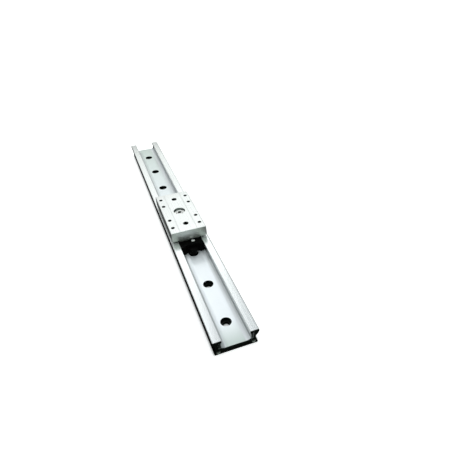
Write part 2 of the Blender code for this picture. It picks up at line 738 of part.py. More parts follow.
def make_wiper(end, carriage):
    middle = (WIPER_BOTTOM_Z + WIPER_TOP_Z) / 2
    half_height = (WIPER_TOP_Z - WIPER_BOTTOM_Z) / 2 + PAST
    wiper = extruded(f"wiper_{end}", wiper_plan(), half_height, middle=middle)
    nose = WIPER_FRONT + NOSE_RADIUS
    half_length = (nose - WIPER_BACK) / 2 + PAST
    section_y = -(nose + WIPER_BACK) / 2
    section = extruded(
        f"wiper_section_{end}", wiper_section(), half_length, "Y", section_y, CUTTERS
    )
    boolean(wiper, section, "INTERSECT")
    cuts = new_collection(f"wiper_cuts_{end}", CUTTERS)
    nose_step = box(
        f"nose_step_{end}",
        (-NOSE_STEP_HALF_WIDTH, -nose - PAST, NOSE_TOP_Z),
        (NOSE_STEP_HALF_WIDTH, -NOSE_STEP_Y, WIPER_TOP_Z + PAST),
        cuts,
    )
    tongue_slot = box(
        f"tongue_slot_{end}",
        (-TONGUE_HALF_WIDTH - GAP, -TONGUE_REACH - GAP, TONGUE_BOTTOM_Z - GAP),
        (TONGUE_HALF_WIDTH + GAP, -WIPER_BACK + PAST, TONGUE_TOP_Z + GAP),
        cuts,
    )
    screw_hole = prism(
        f"wiper_screw_hole_{end}",
        WIPER_SCREW_RADIUS + GAP,
        WIPER_SCREW_END_Z - PAST,
        WIPER_TOP_Z + PAST,
        (WIPER_SCREW_X, -WIPER_SCREW_Y, 0),
        SCREW_SIDES,
        cuts,
    )
    pieces = [wiper, section, nose_step, tongue_slot, screw_hole]
    for side, sign in (("left", -1), ("right", 1)):
        make_felt(f"felt_{end}_{side}", sign, end, carriage)
        pieces.append(felt_pocket(f"felt_pocket_{end}_{side}", sign, cuts))
    move_to_end(pieces, end)
    boolean_all(wiper, cuts, "DIFFERENCE")
    finish_part(wiper, BLACK_PLASTIC, carriage)


def make_wiper_screw(end, carriage):
    """A pan-head screw through the wiper's top into the plate's tongue."""
    sign = -1 if end == "front" else 1
    at = (-sign * WIPER_SCREW_X, CARRIAGE_Y + sign * WIPER_SCREW_Y, 0)
    head_bottom = WIPER_TOP_Z + GAP
    head_top = head_bottom + WIPER_SCREW_HEAD_HEIGHT
    rim = WIPER_SCREW_HEAD_RADIUS
    dome = [(share * rim, head_top - depth) for share, depth in WIPER_SCREW_DOME]
    profile = [
        (0, head_top),
        *dome,
        (rim, head_bottom),
        (WIPER_SCREW_RADIUS, head_bottom),
        (WIPER_SCREW_RADIUS, WIPER_SCREW_END_Z + EDGE_BREAK),
        (WIPER_SCREW_RADIUS - EDGE_BREAK, WIPER_SCREW_END_Z),
        (0, WIPER_SCREW_END_Z),
    ]
    screw = turned(f"wiper_screw_{end}", profile, at, SMALL_SIDES)
    low = head_top - WIPER_SCREW_SOCKET_DEPTH
    high = head_top + PAST
    socket = hexagon(f"wiper_screw_socket_{end}", WIPER_SCREW_SOCKET, low, high, at, CUTTERS)
    boolean(screw, socket, "DIFFERENCE")
    finish_part(screw, ZINC, carriage)


# ---------------------------------------------------------------- assembly
def make_rollers(carriage):
    for end, sign in (("front", -1), ("rear", 1)):
        at = (SIDE_OFFSET, CARRIAGE_Y + sign * ROLLER_PITCH, 0)
        spin = axis_empty(f"roller_{end}_axis", at, carriage)
        cage = axis_empty(f"cage_{end}_axis", at, carriage)
        make_bearing(end, at, carriage, spin, cage)
        make_fixed_stud(end, at, carriage)
    shank_at = (0, CARRIAGE_Y, 0)
    journal_at = (-SIDE_OFFSET, CARRIAGE_Y, 0)
    eccentric = axis_empty("eccentric_axis", shank_at, carriage)
    spin = axis_empty("roller_middle_axis", journal_at, eccentric)
    cage = axis_empty("cage_middle_axis", journal_at, eccentric)
    make_bearing("middle", journal_at, eccentric, spin, cage)
    make_eccentric_stud(shank_at, journal_at, eccentric)
    make_lock_nut(shank_at, carriage)


def main():
    make_rail()
    make_liners()
    carriage = axis_empty("carriage", (0, CARRIAGE_Y, 0))
    make_plate(carriage)
    make_rollers(carriage)
    for end in ("front", "rear"):
        make_wiper(end, carriage)
        make_wiper_screw(end, carriage)


main()
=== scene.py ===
"""Looks of the roller linear guide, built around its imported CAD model.

Metres, in the CAD model's own frame: X across the rail, Y along it, +Z up. Each CAD node is
shown by a finer mesh of the same size, with its own finish. Places come from the CAD nodes'
boxes and from the joints.
"""

import json
import math

import bmesh
import bpy
from mathutils import Matrix, Vector


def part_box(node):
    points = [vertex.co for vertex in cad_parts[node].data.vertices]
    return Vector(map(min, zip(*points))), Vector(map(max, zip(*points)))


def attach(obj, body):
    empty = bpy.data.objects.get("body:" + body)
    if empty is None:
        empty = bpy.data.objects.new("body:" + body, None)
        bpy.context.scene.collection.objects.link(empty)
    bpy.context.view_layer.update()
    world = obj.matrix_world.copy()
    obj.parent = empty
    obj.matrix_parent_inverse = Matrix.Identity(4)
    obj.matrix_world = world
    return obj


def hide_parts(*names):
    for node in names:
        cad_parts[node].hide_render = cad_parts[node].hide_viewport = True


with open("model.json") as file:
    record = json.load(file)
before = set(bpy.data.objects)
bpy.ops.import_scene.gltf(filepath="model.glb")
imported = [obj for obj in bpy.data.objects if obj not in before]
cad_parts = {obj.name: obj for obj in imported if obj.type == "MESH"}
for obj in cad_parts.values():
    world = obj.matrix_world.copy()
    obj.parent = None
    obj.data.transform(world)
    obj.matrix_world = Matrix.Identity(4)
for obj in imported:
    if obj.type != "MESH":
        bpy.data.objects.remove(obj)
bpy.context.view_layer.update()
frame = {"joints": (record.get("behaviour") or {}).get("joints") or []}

MM = 0.001
JOINTS = {joint["name"]: joint for joint in frame["joints"]}

RAIL_LOW, RAIL_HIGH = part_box("rail")
PLATE_LOW, PLATE_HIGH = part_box("carriage_plate")
LINER_LOW, LINER_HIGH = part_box("raceway_right")
RING_LOW, RING_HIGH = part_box("outer_ring_middle")
WIPER_LOW, WIPER_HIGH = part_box("wiper_front")
FELT_LOW, FELT_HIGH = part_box("felt_front_right")

CARRIAGE_Y = JOINTS["eccentric_adjust"]["pos_m"][1]
RACEWAY_Z = (LINER_LOW.z + LINER_HIGH.z) / 2
RAIL_TOP = RAIL_HIGH.z
RAIL_NEAR = RAIL_LOW.y
RAIL_FAR = RAIL_HIGH.y
PLATE_TOP = PLATE_HIGH.z

PAST = 1.0 * MM  # how far a cutter reaches past what it cuts
OVERLAP = 2 * MM  # how far a piece reaches into the one it is joined to
CHAMFER = 0.4 * MM
GAP = 0.3 * MM

# Rail section
FLOOR_Z = 9.5 * MM
FLOOR_HALF_WIDTH = 14.3 * MM
FLANK_TOP_X = 19.8 * MM
LIP_INNER_X = 19.6 * MM
LIP_UNDERSIDE_Z = 20.8 * MM
LIP_CORNER_RADIUS = 0.6 * MM
LIP_EDGE_RADIUS = 0.3 * MM
SHOULDER_RADIUS = 1.8 * MM
BULGE_FOOT = (30.6 * MM, 17.2 * MM)
BULGE_CENTRE = (30.0 * MM, 21.0 * MM)
BULGE_RADIUS = 2.2 * MM
WAIST_CENTRE = (31.2 * MM, 12.1 * MM)
WAIST_RADIUS = 4.0 * MM
FOOT_CENTRE = (28.4 * MM, 1.6 * MM)
FOOT_RADIUS = 1.6 * MM
POCKET_FLOOR_Z = 11.2 * MM
POCKET_BACK_X = 24.2 * MM
OUTSIDE_X = 26.0 * MM  # the outer sides lie beyond this, and below the next one
OUTSIDE_TOP = 24.5 * MM
RAIL_EDGE = 0.12 * MM

# Rail holes
COUNTERBORE_RADIUS = 7.5 * MM
COUNTERBORE_SEAT_Z = 4.2 * MM
BOLT_HOLE_RADIUS = 4.5 * MM
BORE_FILLET = 0.2 * MM
HOLE_PITCH = 80 * MM
HOLE_COUNT = 8
NEAR_MARGIN = 40 * MM  # from the rail's -Y end to its first hole
SCREW_PORT = (24.4 * MM, 4.4 * MM)
SCREW_PORT_RADIUS = 2.0 * MM
SCREW_PORT_CHAMFER = 0.7 * MM

# Raceway
RACEWAY_DEEPEST_X = 20.95 * MM
RACEWAY_RADIUS = 10.6 * MM
STRIP_EDGE = 0.15 * MM
STRIP_CHAMFER = 0.3 * MM
TRACK_HALF_WIDTH = (1.2 * MM, 2.4 * MM)  # where the bright track starts to fade, and ends

# Plate
PLATE_LENGTH = 128 * MM
PLATE_BOTTOM = 28.5 * MM
PLATE_EDGE = 0.8 * MM
WEB_HALF_WIDTH = 17.5 * MM
WEB_HALF_LENGTH = 62.3 * MM
WEB_BOTTOM = 22.5 * MM
WEB_EDGE = 0.3 * MM
TONGUE_HALF_WIDTH = 9.0 * MM
TONGUE_TOP = 23.8 * MM
TONGUE_ROOT = 58 * MM
TAP_X = 23.0 * MM
TAP_Y = (24.0 * MM, 47.5 * MM)
TAP_DEPTH = 14.0 * MM
TAP_CORE_RADIUS = 2.5 * MM
TAP_ROOT_RADIUS = 3.0 * MM
TAP_PITCH = 1.0 * MM
TAP_MOUTH = 0.7 * MM
TAP_PLAIN = 1.5 * MM  # left without thread at the bottom
DRILL_POINT = 1.4 * MM
STUD_HOLE_RADIUS = 4.3 * MM
NUT_POCKET_RADIUS = 9.75 * MM
NUT_POCKET_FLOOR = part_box("lock_washer")[0].z - GAP
ECCENTRIC_HOLE_RADIUS = 6.3 * MM
LINE_X = 14.5 * MM
LINE_HALF_WIDTH = 0.5 * MM
LINE_DEPTH = 0.3 * MM

# Rollers
ROLLER_HALF_HEIGHT = (RING_HIGH.z - RING_LOW.z) / 2
ROLLER_RADIUS = (RING_HIGH.x - RING_LOW.x) / 2
CROWN_RADIUS = 10.0 * MM
BALL_RADIUS = 2.4 * MM
BALL_CIRCLE = 11.5 * MM
BALL_COUNT = 8
OUTER_SHOULDER = 13.4 * MM
INNER_SHOULDER = 9.6 * MM
INNER_BORE = 4.3 * MM
CROWN_STEP = 0.3 * MM
RING_CHAMFER = 1.3 * MM
SEAL_SEAT = 0.8 * MM
SEAL_STEP = 1.2 * MM
RIM_GROOVE = ((1.4 * MM, 0), (1.6 * MM, 0.12 * MM), (2.0 * MM, 0.12 * MM), (2.2 * MM, 0))
SMALL_EDGE = 0.2 * MM
CAGE_HALF_HEIGHT = 1.3 * MM
CAGE_HALF_WIDTH = 1.1 * MM
CAGE_BRIDGE = 0.4 * MM
CAGE_POST_RADIUS = 0.9 * MM
BALL_PLAY = 0.08 * MM
SEAL_THICKNESS = 0.6 * MM
SEAL_BEAD = (2.2 * MM, 1.9 * MM, 1.5 * MM, 1.2 * MM)  # out from the seal's lip

# Studs and nut
STUD_RADIUS = 4.0 * MM
STUD_ROOT_RADIUS = 3.4 * MM
STUD_THREAD = 12 * MM
STUD_SOCKET = 4 * MM
ECCENTRIC_RADIUS = 6.0 * MM
ECCENTRIC_ROOT_RADIUS = 5.4 * MM
ECCENTRIC_THREAD_END = 34 * MM
ECCENTRIC_SOCKET = 6 * MM
SOCKET_DEPTH = 3.5 * MM
SOCKET_ENTRY = (4.9 * MM, 3.0 * MM, 0.9 * MM)  # wide and narrow radius, and depth
STUD_PITCH = 1.25 * MM
HEAD_RADIUS = 6.4 * MM
HEAD_EDGE = 0.3 * MM
NUT_SLOT_COUNT = 4
NUT_SLOT_FLOOR = 7.7 * MM
NUT_SLOT_HALF_WIDTH = 1.1 * MM
NUT_EDGE = 0.4 * MM
WASHER_EDGE = 0.15 * MM

# Wipers; distances are from the carriage's middle
WIPER_BACK = CARRIAGE_Y - WIPER_HIGH.y
WIPER_HALF_WIDTH = WIPER_HIGH.x
WIPER_TOP = WIPER_HIGH.z
WIPER_BOTTOM = WIPER_LOW.z
NOSE_RADIUS = 7.2 * MM
NOSE_TOP = 20.5 * MM
SCALLOP_RADIUS = 2.5 * MM
WIPER_CORNER_RADIUS = 2.4 * MM
WIPER_FOOT_HALF_WIDTH = 13.8 * MM
WIPER_FLANK = (18.4 * MM, 11.7 * MM)
WIPER_FLANK_TOP = 12.6 * MM
WIPER_EDGE = 0.8 * MM
WIPER_ROUNDING = 0.35 * MM
STEP_HALF_WIDTH = 10.2 * MM
STEP_BACK = 3.2 * MM  # from the nose's centre
FELT_EDGE = 0.8 * MM
WIPER_FRONT = CARRIAGE_Y - WIPER_LOW.y - NOSE_RADIUS
WIPER_SCREW = (4.0 * MM, -68.5 * MM)
WIPER_SCREW_RADIUS = 1.5 * MM
WIPER_SCREW_ROOT = 1.2 * MM
WIPER_SCREW_TIP = 1.1 * MM
WIPER_SCREW_PITCH = 0.5 * MM
WIPER_SCREW_SOCKET = 2 * MM
WIPER_SCREW_SOCKET_DEPTH = 1.1 * MM

FINE = 96
ROUND = 64
COARSE = 32

# Studio
PAPER_GLOW = 0.55
PAPER_HALF_SIZE = 30.0
PAPER_DROP = 0.2 * MM  # below the rail
CAMERA_PLACE = (-0.1033, -0.6303, 0.4204)
CAMERA_AIM = (0.0779, -0.1251, 0.0200)
CAMERA_ROLL = -1.96  # degrees
CAMERA_LENS = 29.77
PANEL = (0.164, 0.77, 0.616)  # towards the bright panel behind the rail's far end
HOT_SPOT = (0.18, 0.72, 0.67)
BACK_FLAG = (0.20, -0.78, 0.60)
LEFT_FLAG = (-0.60, 0.72, 0.34)
RIGHT_FLAG = (0.60, 0.68, 0.42)
OVERHEAD = (0.0, 0.1, 1.0)
BACK_LIGHT = (-0.346, 0.742, 0.574)


# ---------------------------------------------------------------- mesh building
def to_object(name, shape, at=(0, 0, 0)):
    """An object from a bmesh, with its place in its mesh."""
    bmesh.ops.recalc_face_normals(shape, faces=shape.faces)
    bmesh.ops.translate(shape, vec=at, verts=shape.verts)
    mesh = bpy.data.meshes.new(name)
    shape.to_mesh(mesh)
    shape.free()
    made = bpy.data.objects.new(name, mesh)
    bpy.context.scene.collection.objects.link(made)
    return made


def arc(centre, radius, start, end, steps):
    """Points on an arc from start to end, in degrees."""
    angles = [math.radians(start + (end - start) * i / steps) for i in range(steps + 1)]
    return [(centre[0] + radius * math.cos(a), centre[1] + radius * math.sin(a)) for a in angles]


def mirrored(half):
    return half + [(-u, v) for u, v in reversed(half) if abs(u) > 1e-9]


def lathe(name, profile, at=(0, 0, 0), sides=ROUND, ring=False):
    """A profile of (radius, z) points turned about Z. A ring's profile closes on itself."""
    shape = bmesh.new()
    points = [shape.verts.new((radius, 0, z)) for radius, z in profile]
    pairs = list(zip(points, points[1:]))
    if ring:
        pairs.append((points[-1], points[0]))
    edges = [shape.edges.new(pair) for pair in pairs]
    bmesh.ops.spin(
        shape,
        geom=points + edges,
        axis=(0, 0, 1),
        cent=(0, 0, 0),
        steps=sides,
        angle=2 * math.pi,
        use_merge=True,
    )
    bmesh.ops.remove_doubles(shape, verts=shape.verts, dist=1e-7)
    return to_object(name, shape, at)


def extruded(name, outline, low, high, along="Z"):
    """An outline of (x, y) points extruded along Z, or of (x, z) points along Y."""
    shape = bmesh.new()
    face = shape.faces.new([shape.verts.new((u, v, low)) for u, v in outline])
    made = bmesh.ops.extrude_face_region(shape, geom=[face])
    top = [v for v in made["geom"] if isinstance(v, bmesh.types.BMVert)]
    bmesh.ops.translate(shape, vec=(0, 0, high - low), verts=top)
    if along == "Y":
        for v in shape.verts:
            v.co = (v.co.x, v.co.z, v.co.y)
    return to_object(name, shape)


def box(name, low, high):
    shape = bmesh.new()
    bmesh.ops.create_cube(shape, size=1.0)
    size = [top - bottom for bottom, top in zip(low, high)]
    middle = [(top + bottom) / 2 for bottom, top in zip(low, high)]
    bmesh.ops.scale(shape, vec=size, verts=shape.verts)
    return to_object(name, shape, middle)


def hexagon(name, across_flats, low, high, at):
    radius = across_flats / math.sqrt(3)
    outline = [(at[0] + x, at[1] + y) for x, y in arc((0, 0), radius, 0, 300, 5)]
    return extruded(name, outline, low, high)


def bar(name, radius, low, high, at, sides=ROUND):
    return lathe(name, [(0, high), (radius, high), (radius, low), (0, low)], at, sides)


def baked(obj):
    """Applies an object's modifiers."""
    bpy.context.view_layer.update()
    graph = bpy.context.evaluated_depsgraph_get()
    mesh = bpy.data.meshes.new_from_object(obj.evaluated_get(graph))
    old = obj.data
    obj.modifiers.clear()
    obj.data = mesh
    bpy.data.meshes.remove(old)
    return obj


def combined(obj, others, operation):
    """A Boolean with several solids, which are used up. A cut face keeps its cutter's finish."""
    for other in others:
        if obj.data.materials and not other.data.materials:
            other.data.materials.append(obj.data.materials[0])
        modifier = obj.modifiers.new("with", "BOOLEAN")
        modifier.operation = operation
        modifier.solver = "EXACT"
        modifier.material_mode = "TRANSFER"
        modifier.object = other
    baked(obj)
    for other in others:
        bpy.data.objects.remove(other)
    return obj


def joined(name, objects, finish=None):
    """Objects that don't touch, as one mesh. A finish is for the faces that it cuts."""
    shape = bmesh.new()
    for obj in objects:
        shape.from_mesh(obj.data)
        bpy.data.objects.remove(obj)
    made = to_object(name, shape)
    if finish:
        made.data.materials.append(finish)
    return made


def finished(obj, finish):
    obj.data.materials.append(finish)
    return obj


def beveled(obj, width, segments=3, angle=40):
    modifier = obj.modifiers.new("edges", "BEVEL")
    modifier.width = width
    modifier.segments = segments
    modifier.limit_method = "ANGLE"
    modifier.angle_limit = math.radians(angle)
    modifier.use_clamp_overlap = True
    return baked(obj)


def moved(obj, matrix):
    obj.data.transform(matrix)
    return obj


def named(obj, name):
    obj.name = name
    return obj


def thread(root, crest, top, bottom, pitch):
    """(radius, z) points of a thread, as rings, from top to bottom."""
    points = []
    for i in range(int((top - bottom) / pitch)):
        z = top - i * pitch
        points += [(crest, z - 0.06 * pitch), (root, z - 0.44 * pitch)]
        points += [(root, z - 0.56 * pitch), (crest, z - 0.94 * pitch)]
    return points


def broken_rim(rim, high, low, edge):
    """Points down a cylinder's outside, with both edges broken. A negative edge is for a bore."""
    return [(rim - edge, high), (rim, high - edge), (rim, low + edge), (rim - edge, low)]


def show(obj, node, body, material, angle=30):
    """Makes obj the shown form of a CAD node: its body, its finish and its shading."""
    if not any(obj.data.materials):
        obj.data.materials.clear()
        obj.data.materials.append(material)
    obj.data.shade_smooth()
    obj.data.set_sharp_from_angle(angle=math.radians(angle))
    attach(obj, body)
    if node:
        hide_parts(node)
    return obj


# ---------------------------------------------------------------- materials
class Nodes:
    """A node tree, with short ways to add the nodes that the finishes and the sky share."""

    def __init__(self, tree, place):
        self.nodes = tree.nodes
        self.links = tree.links
        self.place = self.nodes.new("ShaderNodeTexCoord").outputs[place]

    def parts(self):
        """The place's X, Y and Z, or the direction's."""
        split = self.nodes.new("ShaderNodeSeparateXYZ")
        self.links.new(self.place, split.inputs["Vector"])
        return split.outputs

    def ranged(self, value, low, high, start=0.3, end=0.7):
        made = self.nodes.new("ShaderNodeMapRange")
        made.inputs["From Min"].default_value = start
        made.inputs["From Max"].default_value = end
        made.inputs["To Min"].default_value = low
        made.inputs["To Max"].default_value = high
        self.links.new(value, made.inputs["Value"])
        return made.outputs["Result"]

    def maths(self, operation, first, second=0.0):
        made = self.nodes.new("ShaderNodeMath")
        made.operation = operation
        for socket, value in zip(made.inputs, (first, second)):
            if isinstance(value, (int, float)):
                socket.default_value = value
            else:
                self.links.new(value, socket)
        return made.outputs["Value"]

    def mixed(self, factor, first, second, blend="MIX"):
        made = self.nodes.new("ShaderNodeMix")
        made.data_type = "RGBA"
        made.blend_type = blend
        self.links.new(factor, made.inputs["Factor"])
        for socket, value in ((made.inputs["A"], first), (made.inputs["B"], second)):
            if isinstance(value, tuple):
                socket.default_value = (*value, 1)
            else:
                self.links.new(value, socket)
        return made.outputs["Result"]


class Finish(Nodes):
    """A Principled material. Its noise and its places are in the object's own coordinates."""

    def __init__(self, name, colour, metallic, roughness):
        self.material = bpy.data.materials.new(name)
        self.material.use_nodes = True
        super().__init__(self.material.node_tree, "Object")
        self.shader = self.nodes["Principled BSDF"]
        self.shader.inputs["Base Color"].default_value = (*colour, 1)
        self.shader.inputs["Metallic"].default_value = metallic
        self.shader.inputs["Roughness"].default_value = roughness
        self.bumps = None

    def noise(self, scale, detail=3.0, roughness=0.5):
        """Noise with so many features per metre along X, Y and Z."""
        mapping = self.nodes.new("ShaderNodeMapping")
        mapping.inputs["Scale"].default_value = scale
        self.links.new(self.place, mapping.inputs["Vector"])
        made = self.nodes.new("ShaderNodeTexNoise")
        made.inputs["Scale"].default_value = 1.0
        made.inputs["Detail"].default_value = detail
        made.inputs["Roughness"].default_value = roughness
        self.links.new(mapping.outputs["Vector"], made.inputs["Vector"])
        return made.outputs["Fac"]

    def colour(self, value):
        self.links.new(value, self.shader.inputs["Base Color"])

    def roughness(self, value):
        self.links.new(value, self.shader.inputs["Roughness"])

    def bump(self, height, strength, distance):
        made = self.nodes.new("ShaderNodeBump")
        made.inputs["Strength"].default_value = strength
        made.inputs["Distance"].default_value = distance
        self.links.new(height, made.inputs["Height"])
        if self.bumps is not None:
            self.links.new(self.bumps, made.inputs["Normal"])
        self.bumps = made.outputs["Normal"]
        self.links.new(self.bumps, self.shader.inputs["Normal"])


def drawn_metal(name, light, dark, roughness, grain, strength, metallic=1.0):
    """Metal with fine lines along one axis: grain is the features per metre on each axis."""
    made = Finish(name, light, metallic, roughness)
    lines = made.noise(grain, detail=4.0, roughness=0.65)
    clouds = made.noise((35, 12, 35), detail=3.0)
    made.tint = made.mixed(made.ranged(clouds, 0.0, 1.0), light, dark)
    made.colour(made.tint)
    spread = made.ranged(lines, roughness - 0.06, roughness + 0.07)
    made.roughness(made.maths("ADD", spread, made.ranged(clouds, -0.02, 0.02)))
    made.bump(lines, strength, 0.00002)
    return made


def anodised_rail():
    light, dark = (0.87, 0.89, 0.89), (0.82, 0.845, 0.84)
    made = drawn_metal("anodised_rail", light, dark, 0.24, (2600, 9, 2600), 0.25, 0.76)
    made.bump(made.noise((9000, 9000, 9000), 2.0), 0.10, 0.00001)
    return made.material


def anodised_outside():
    """Painted shade on the rail's outer sides, which are much darker than its milled lips."""
    light, dark = (0.14, 0.15, 0.145), (0.10, 0.11, 0.105)
    return drawn_metal("anodised_outside", light, dark, 0.20, (2600, 9, 2600), 0.25).material


def anodised_channel():
    """The channel's inside: milled and matt, with painted shade that makes it greener and darker to
    both ends and darker up its curved flanks, most on the left flank as the left lip's shadow.
    """
    light, dark = (0.86, 0.90, 0.93), (0.82, 0.86, 0.89)
    made = drawn_metal("anodised_channel", light, dark, 0.38, (3000, 12, 3000), 0.25, 0.45)
    x, y, _ = made.parts()
    off = made.maths("ABSOLUTE", x)
    # Painted shade in the corners under the lips, up the curved flanks.
    flank = made.ranged(off, 0.0, 1.0, FLOOR_HALF_WIDTH - 1.5 * MM, FLOOR_HALF_WIDTH + 0.2 * MM)
    # Painted shade towards both ends of the channel, darker and greener.
    far = made.ranged(y, 0.0, 1.0, 20 * MM, 300 * MM)
    near = made.ranged(y, 1.0, 0.0, RAIL_NEAR, RAIL_NEAR + 40 * MM)
    painted_end_shade = made.mixed(made.maths("MAXIMUM", far, near), made.tint, (0.56, 0.63, 0.60))
    # Painted shadow of the left lip: the left flank darker than the right.
    left = made.ranged(x, 1.0, 0.0, -FLOOR_HALF_WIDTH - 1 * MM, -FLOOR_HALF_WIDTH)
    painted_flank_shade = made.mixed(left, (0.70, 0.73, 0.75), (0.46, 0.49, 0.50))
    made.colour(made.mixed(flank, painted_end_shade, painted_flank_shade))
    made.bump(made.noise((9000, 9000, 9000), 2.0), 0.10, 0.00001)
    return made.material


def anodised_plate():
    light, dark = (0.80, 0.82, 0.81), (0.76, 0.78, 0.77)
    made = drawn_metal("anodised_plate", light, dark, 0.30, (3200, 14, 3200), 0.25, 0.72)
    made.bump(made.noise((7000, 7000, 7000), 2.0), 0.12, 0.00001)
    return made.material


def painted_shade_plate_side():
    """Painted shade on the plate's long sides, which are darker than its milled top."""
    light, dark = (0.46, 0.49, 0.47), (0.41, 0.44, 0.42)
    return drawn_metal("anodised_plate_side", light, dark, 0.30, (3200, 14, 3200), 0.25, 0.86).material


def marked(name, colour, metallic, roughness, grain, shades, spread, strength, distance):
    """A finish whose colour, roughness and height all follow one noise."""
    made = Finish(name, colour, metallic, roughness)
    marks = made.noise(grain, 3.0)
    made.colour(made.mixed(made.ranged(marks, 0.0, 1.0), *shades))
    made.roughness(made.ranged(marks, *spread))
    made.bump(marks, strength, distance)
    return made.material


def machined_bore():
    """Drilled and counterbored faces and sockets: bare, with painted shade that keeps them near black,
    and fine turning marks.
    """
    base, grain = (0.035, 0.04, 0.037), (700, 700, 4200)
    shades = (0.028, 0.033, 0.03), (0.06, 0.065, 0.06)
    return marked("machined_bore", base, 1.0, 0.35, grain, shades, (0.28, 0.42), 0.3, 0.00002)


def pocket_wall():
    """The nut pocket's milled wall, with painted shade: darker than the plate, brighter than the
    drilled holes.
    """
    base, grain = (0.40, 0.44, 0.43), (700, 700, 4200)
    shades = (0.34, 0.38, 0.37), (0.48, 0.52, 0.51)
    return marked("pocket_wall", base, 1.0, 0.4, grain, shades, (0.32, 0.48), 0.3, 0.00002)


def cut_end():
    """The rail's sawn end, with painted shade that keeps it near black, and fine marks of the blade."""
    base, grain = (0.006, 0.009, 0.007), (150, 150, 4200)
    shades = (0.004, 0.007, 0.005), (0.014, 0.019, 0.015)
    return marked("cut_end", base, 0.7, 0.45, grain, shades, (0.34, 0.55), 0.5, 0.00003)


def ground_steel(name, colour, grain, roughness=0.20):
    darker = tuple(0.86 * c for c in colour)
    made = drawn_metal(name, colour, darker, roughness, grain, 0.25)
    return made.material


def raceway_steel():
    """Ground steel with the brighter track that the rollers leave."""
    made = Finish("raceway_steel", (0.60, 0.62, 0.62), 1.0, 0.22)
    lines = made.noise((5200, 10, 5200), 4.0)
    _, _, height = made.parts()
    off = made.maths("ABSOLUTE", made.maths("SUBTRACT", height, RACEWAY_Z))
    track = made.ranged(off, 1.0, 0.0, *TRACK_HALF_WIDTH)
    made.colour(made.mixed(track, (0.50, 0.52, 0.52), (0.68, 0.70, 0.70)))
    polish = made.maths("MULTIPLY", track, 0.08)
    made.roughness(made.maths("SUBTRACT", made.ranged(lines, 0.2, 0.34), polish))
    made.bump(lines, 0.2, 0.00002)
    return made.material


def zinc_plated(name, metallic):
    """Zinc plate with a faint yellow cast. The less metallic, the paler it is in the shade."""
    made = Finish(name, (0.82, 0.83, 0.82), metallic, 0.28)
    tint = made.noise((260, 260, 260), 4.0)
    made.colour(made.mixed(made.ranged(tint, 0.0, 1.0), (0.86, 0.87, 0.87), (0.78, 0.78, 0.74)))
    made.roughness(made.ranged(made.noise((1800, 1800, 1800)), 0.2, 0.38))
    made.bump(made.noise((6000, 6000, 6000), 2.0), 0.15, 0.00001)
    return made.material


def black_plastic():
    """Spark-eroded moulding texture, a little greyer where it's rubbed."""
    made = Finish("black_plastic", (0.001, 0.001, 0.001), 0.0, 0.5)
    made.shader.inputs["Specular IOR Level"].default_value = 0.06
    grain = made.noise((4200, 4200, 4200), 3.0)
    scuffs = made.noise((420, 420, 420), 5.0, 0.7)
    worn = made.ranged(scuffs, 0.0, 1.0, 0.62, 0.8)
    made.colour(made.mixed(worn, (0.0008, 0.0008, 0.0008), (0.004, 0.004, 0.004)))
    made.roughness(made.ranged(grain, 0.42, 0.6))
    made.bump(grain, 0.45, 0.00004)
    return made.material


def seal_rubber():
    base, grain = (0.02, 0.02, 0.02), (3000, 3000, 3000)
    shades = (0.016, 0.016, 0.016), (0.03, 0.03, 0.029)
    return marked("seal_rubber", base, 0.0, 0.6, grain, shades, (0.5, 0.7), 0.3, 0.00003)


def cage_nylon():
    made = Finish("cage_nylon", (0.42, 0.30, 0.16), 0.0, 0.45)
    cloudy = made.noise((500, 500, 500), 3.0)
    made.colour(made.mixed(made.ranged(cloudy, 0.0, 1.0), (0.40, 0.28, 0.15), (0.50, 0.38, 0.22)))
    made.roughness(made.ranged(cloudy, 0.38, 0.52))
    made.shader.inputs["Subsurface Weight"].default_value = 0.1
    made.shader.inputs["Subsurface Scale"].default_value = 0.001
    return made.material


def oiled_felt():
    made = Finish("oiled_felt", (0.22, 0.19, 0.14), 0.0, 0.9)
    fibres = made.noise((2600, 900, 2600), 6.0, 0.75)
    patches = made.noise((250, 250, 250), 3.0)
    dry = made.mixed(made.ranged(fibres, 0.0, 1.0), (0.15, 0.125, 0.09), (0.34, 0.30, 0.23))
    made.colour(made.mixed(made.ranged(patches, 0.0, 0.7, 0.45, 0.65), dry, (0.08, 0.065, 0.045)))
    made.roughness(made.ranged(patches, 0.95, 0.6, 0.4, 0.65))
    made.bump(fibres, 0.9, 0.0002)
    made.shader.inputs["Sheen Weight"].default_value = 0.3
    return made.material


RAIL_FINISH = anodised_rail()
OUTSIDE_PAINTED_SHADE = anodised_outside()
CHANNEL_FINISH_AND_SHADE = anodised_channel()
PLATE_FINISH = anodised_plate()
PLATE_SIDE_SHADE = painted_shade_plate_side()
BORE_PAINTED_SHADE = machined_bore()
POCKET_PAINTED_SHADE = pocket_wall()
PORT_FINISH = ground_steel("port_mouth", (0.80, 0.82, 0.81), (900, 5200, 900), 0.45)
# The raceway strips' ends: a darker copy of their ground steel, as painted shade.
STRIP_END_SHADE = ground_steel("strip_end", (0.34, 0.36, 0.35), (900, 5200, 900), 0.5)
CUT_END_SHADE = cut_end()
RACEWAY_FINISH = raceway_steel()
BEARING_FINISH = ground_steel("bearing_steel", (0.60, 0.61, 0.62), (900, 900, 5200))
BALL_FINISH = ground_steel("ball_steel", (0.74, 0.75, 0.76), (900, 900, 900), 0.10)
ZINC_FINISH = zinc_plated("zinc_plated", 0.75)
HEAD_FINISH = zinc_plated("bright_head", 0.35)
PLASTIC_FINISH = black_plastic()
SEAL_FINISH = seal_rubber()
CAGE_FINISH = cage_nylon()
FELT_FINISH = oiled_felt()


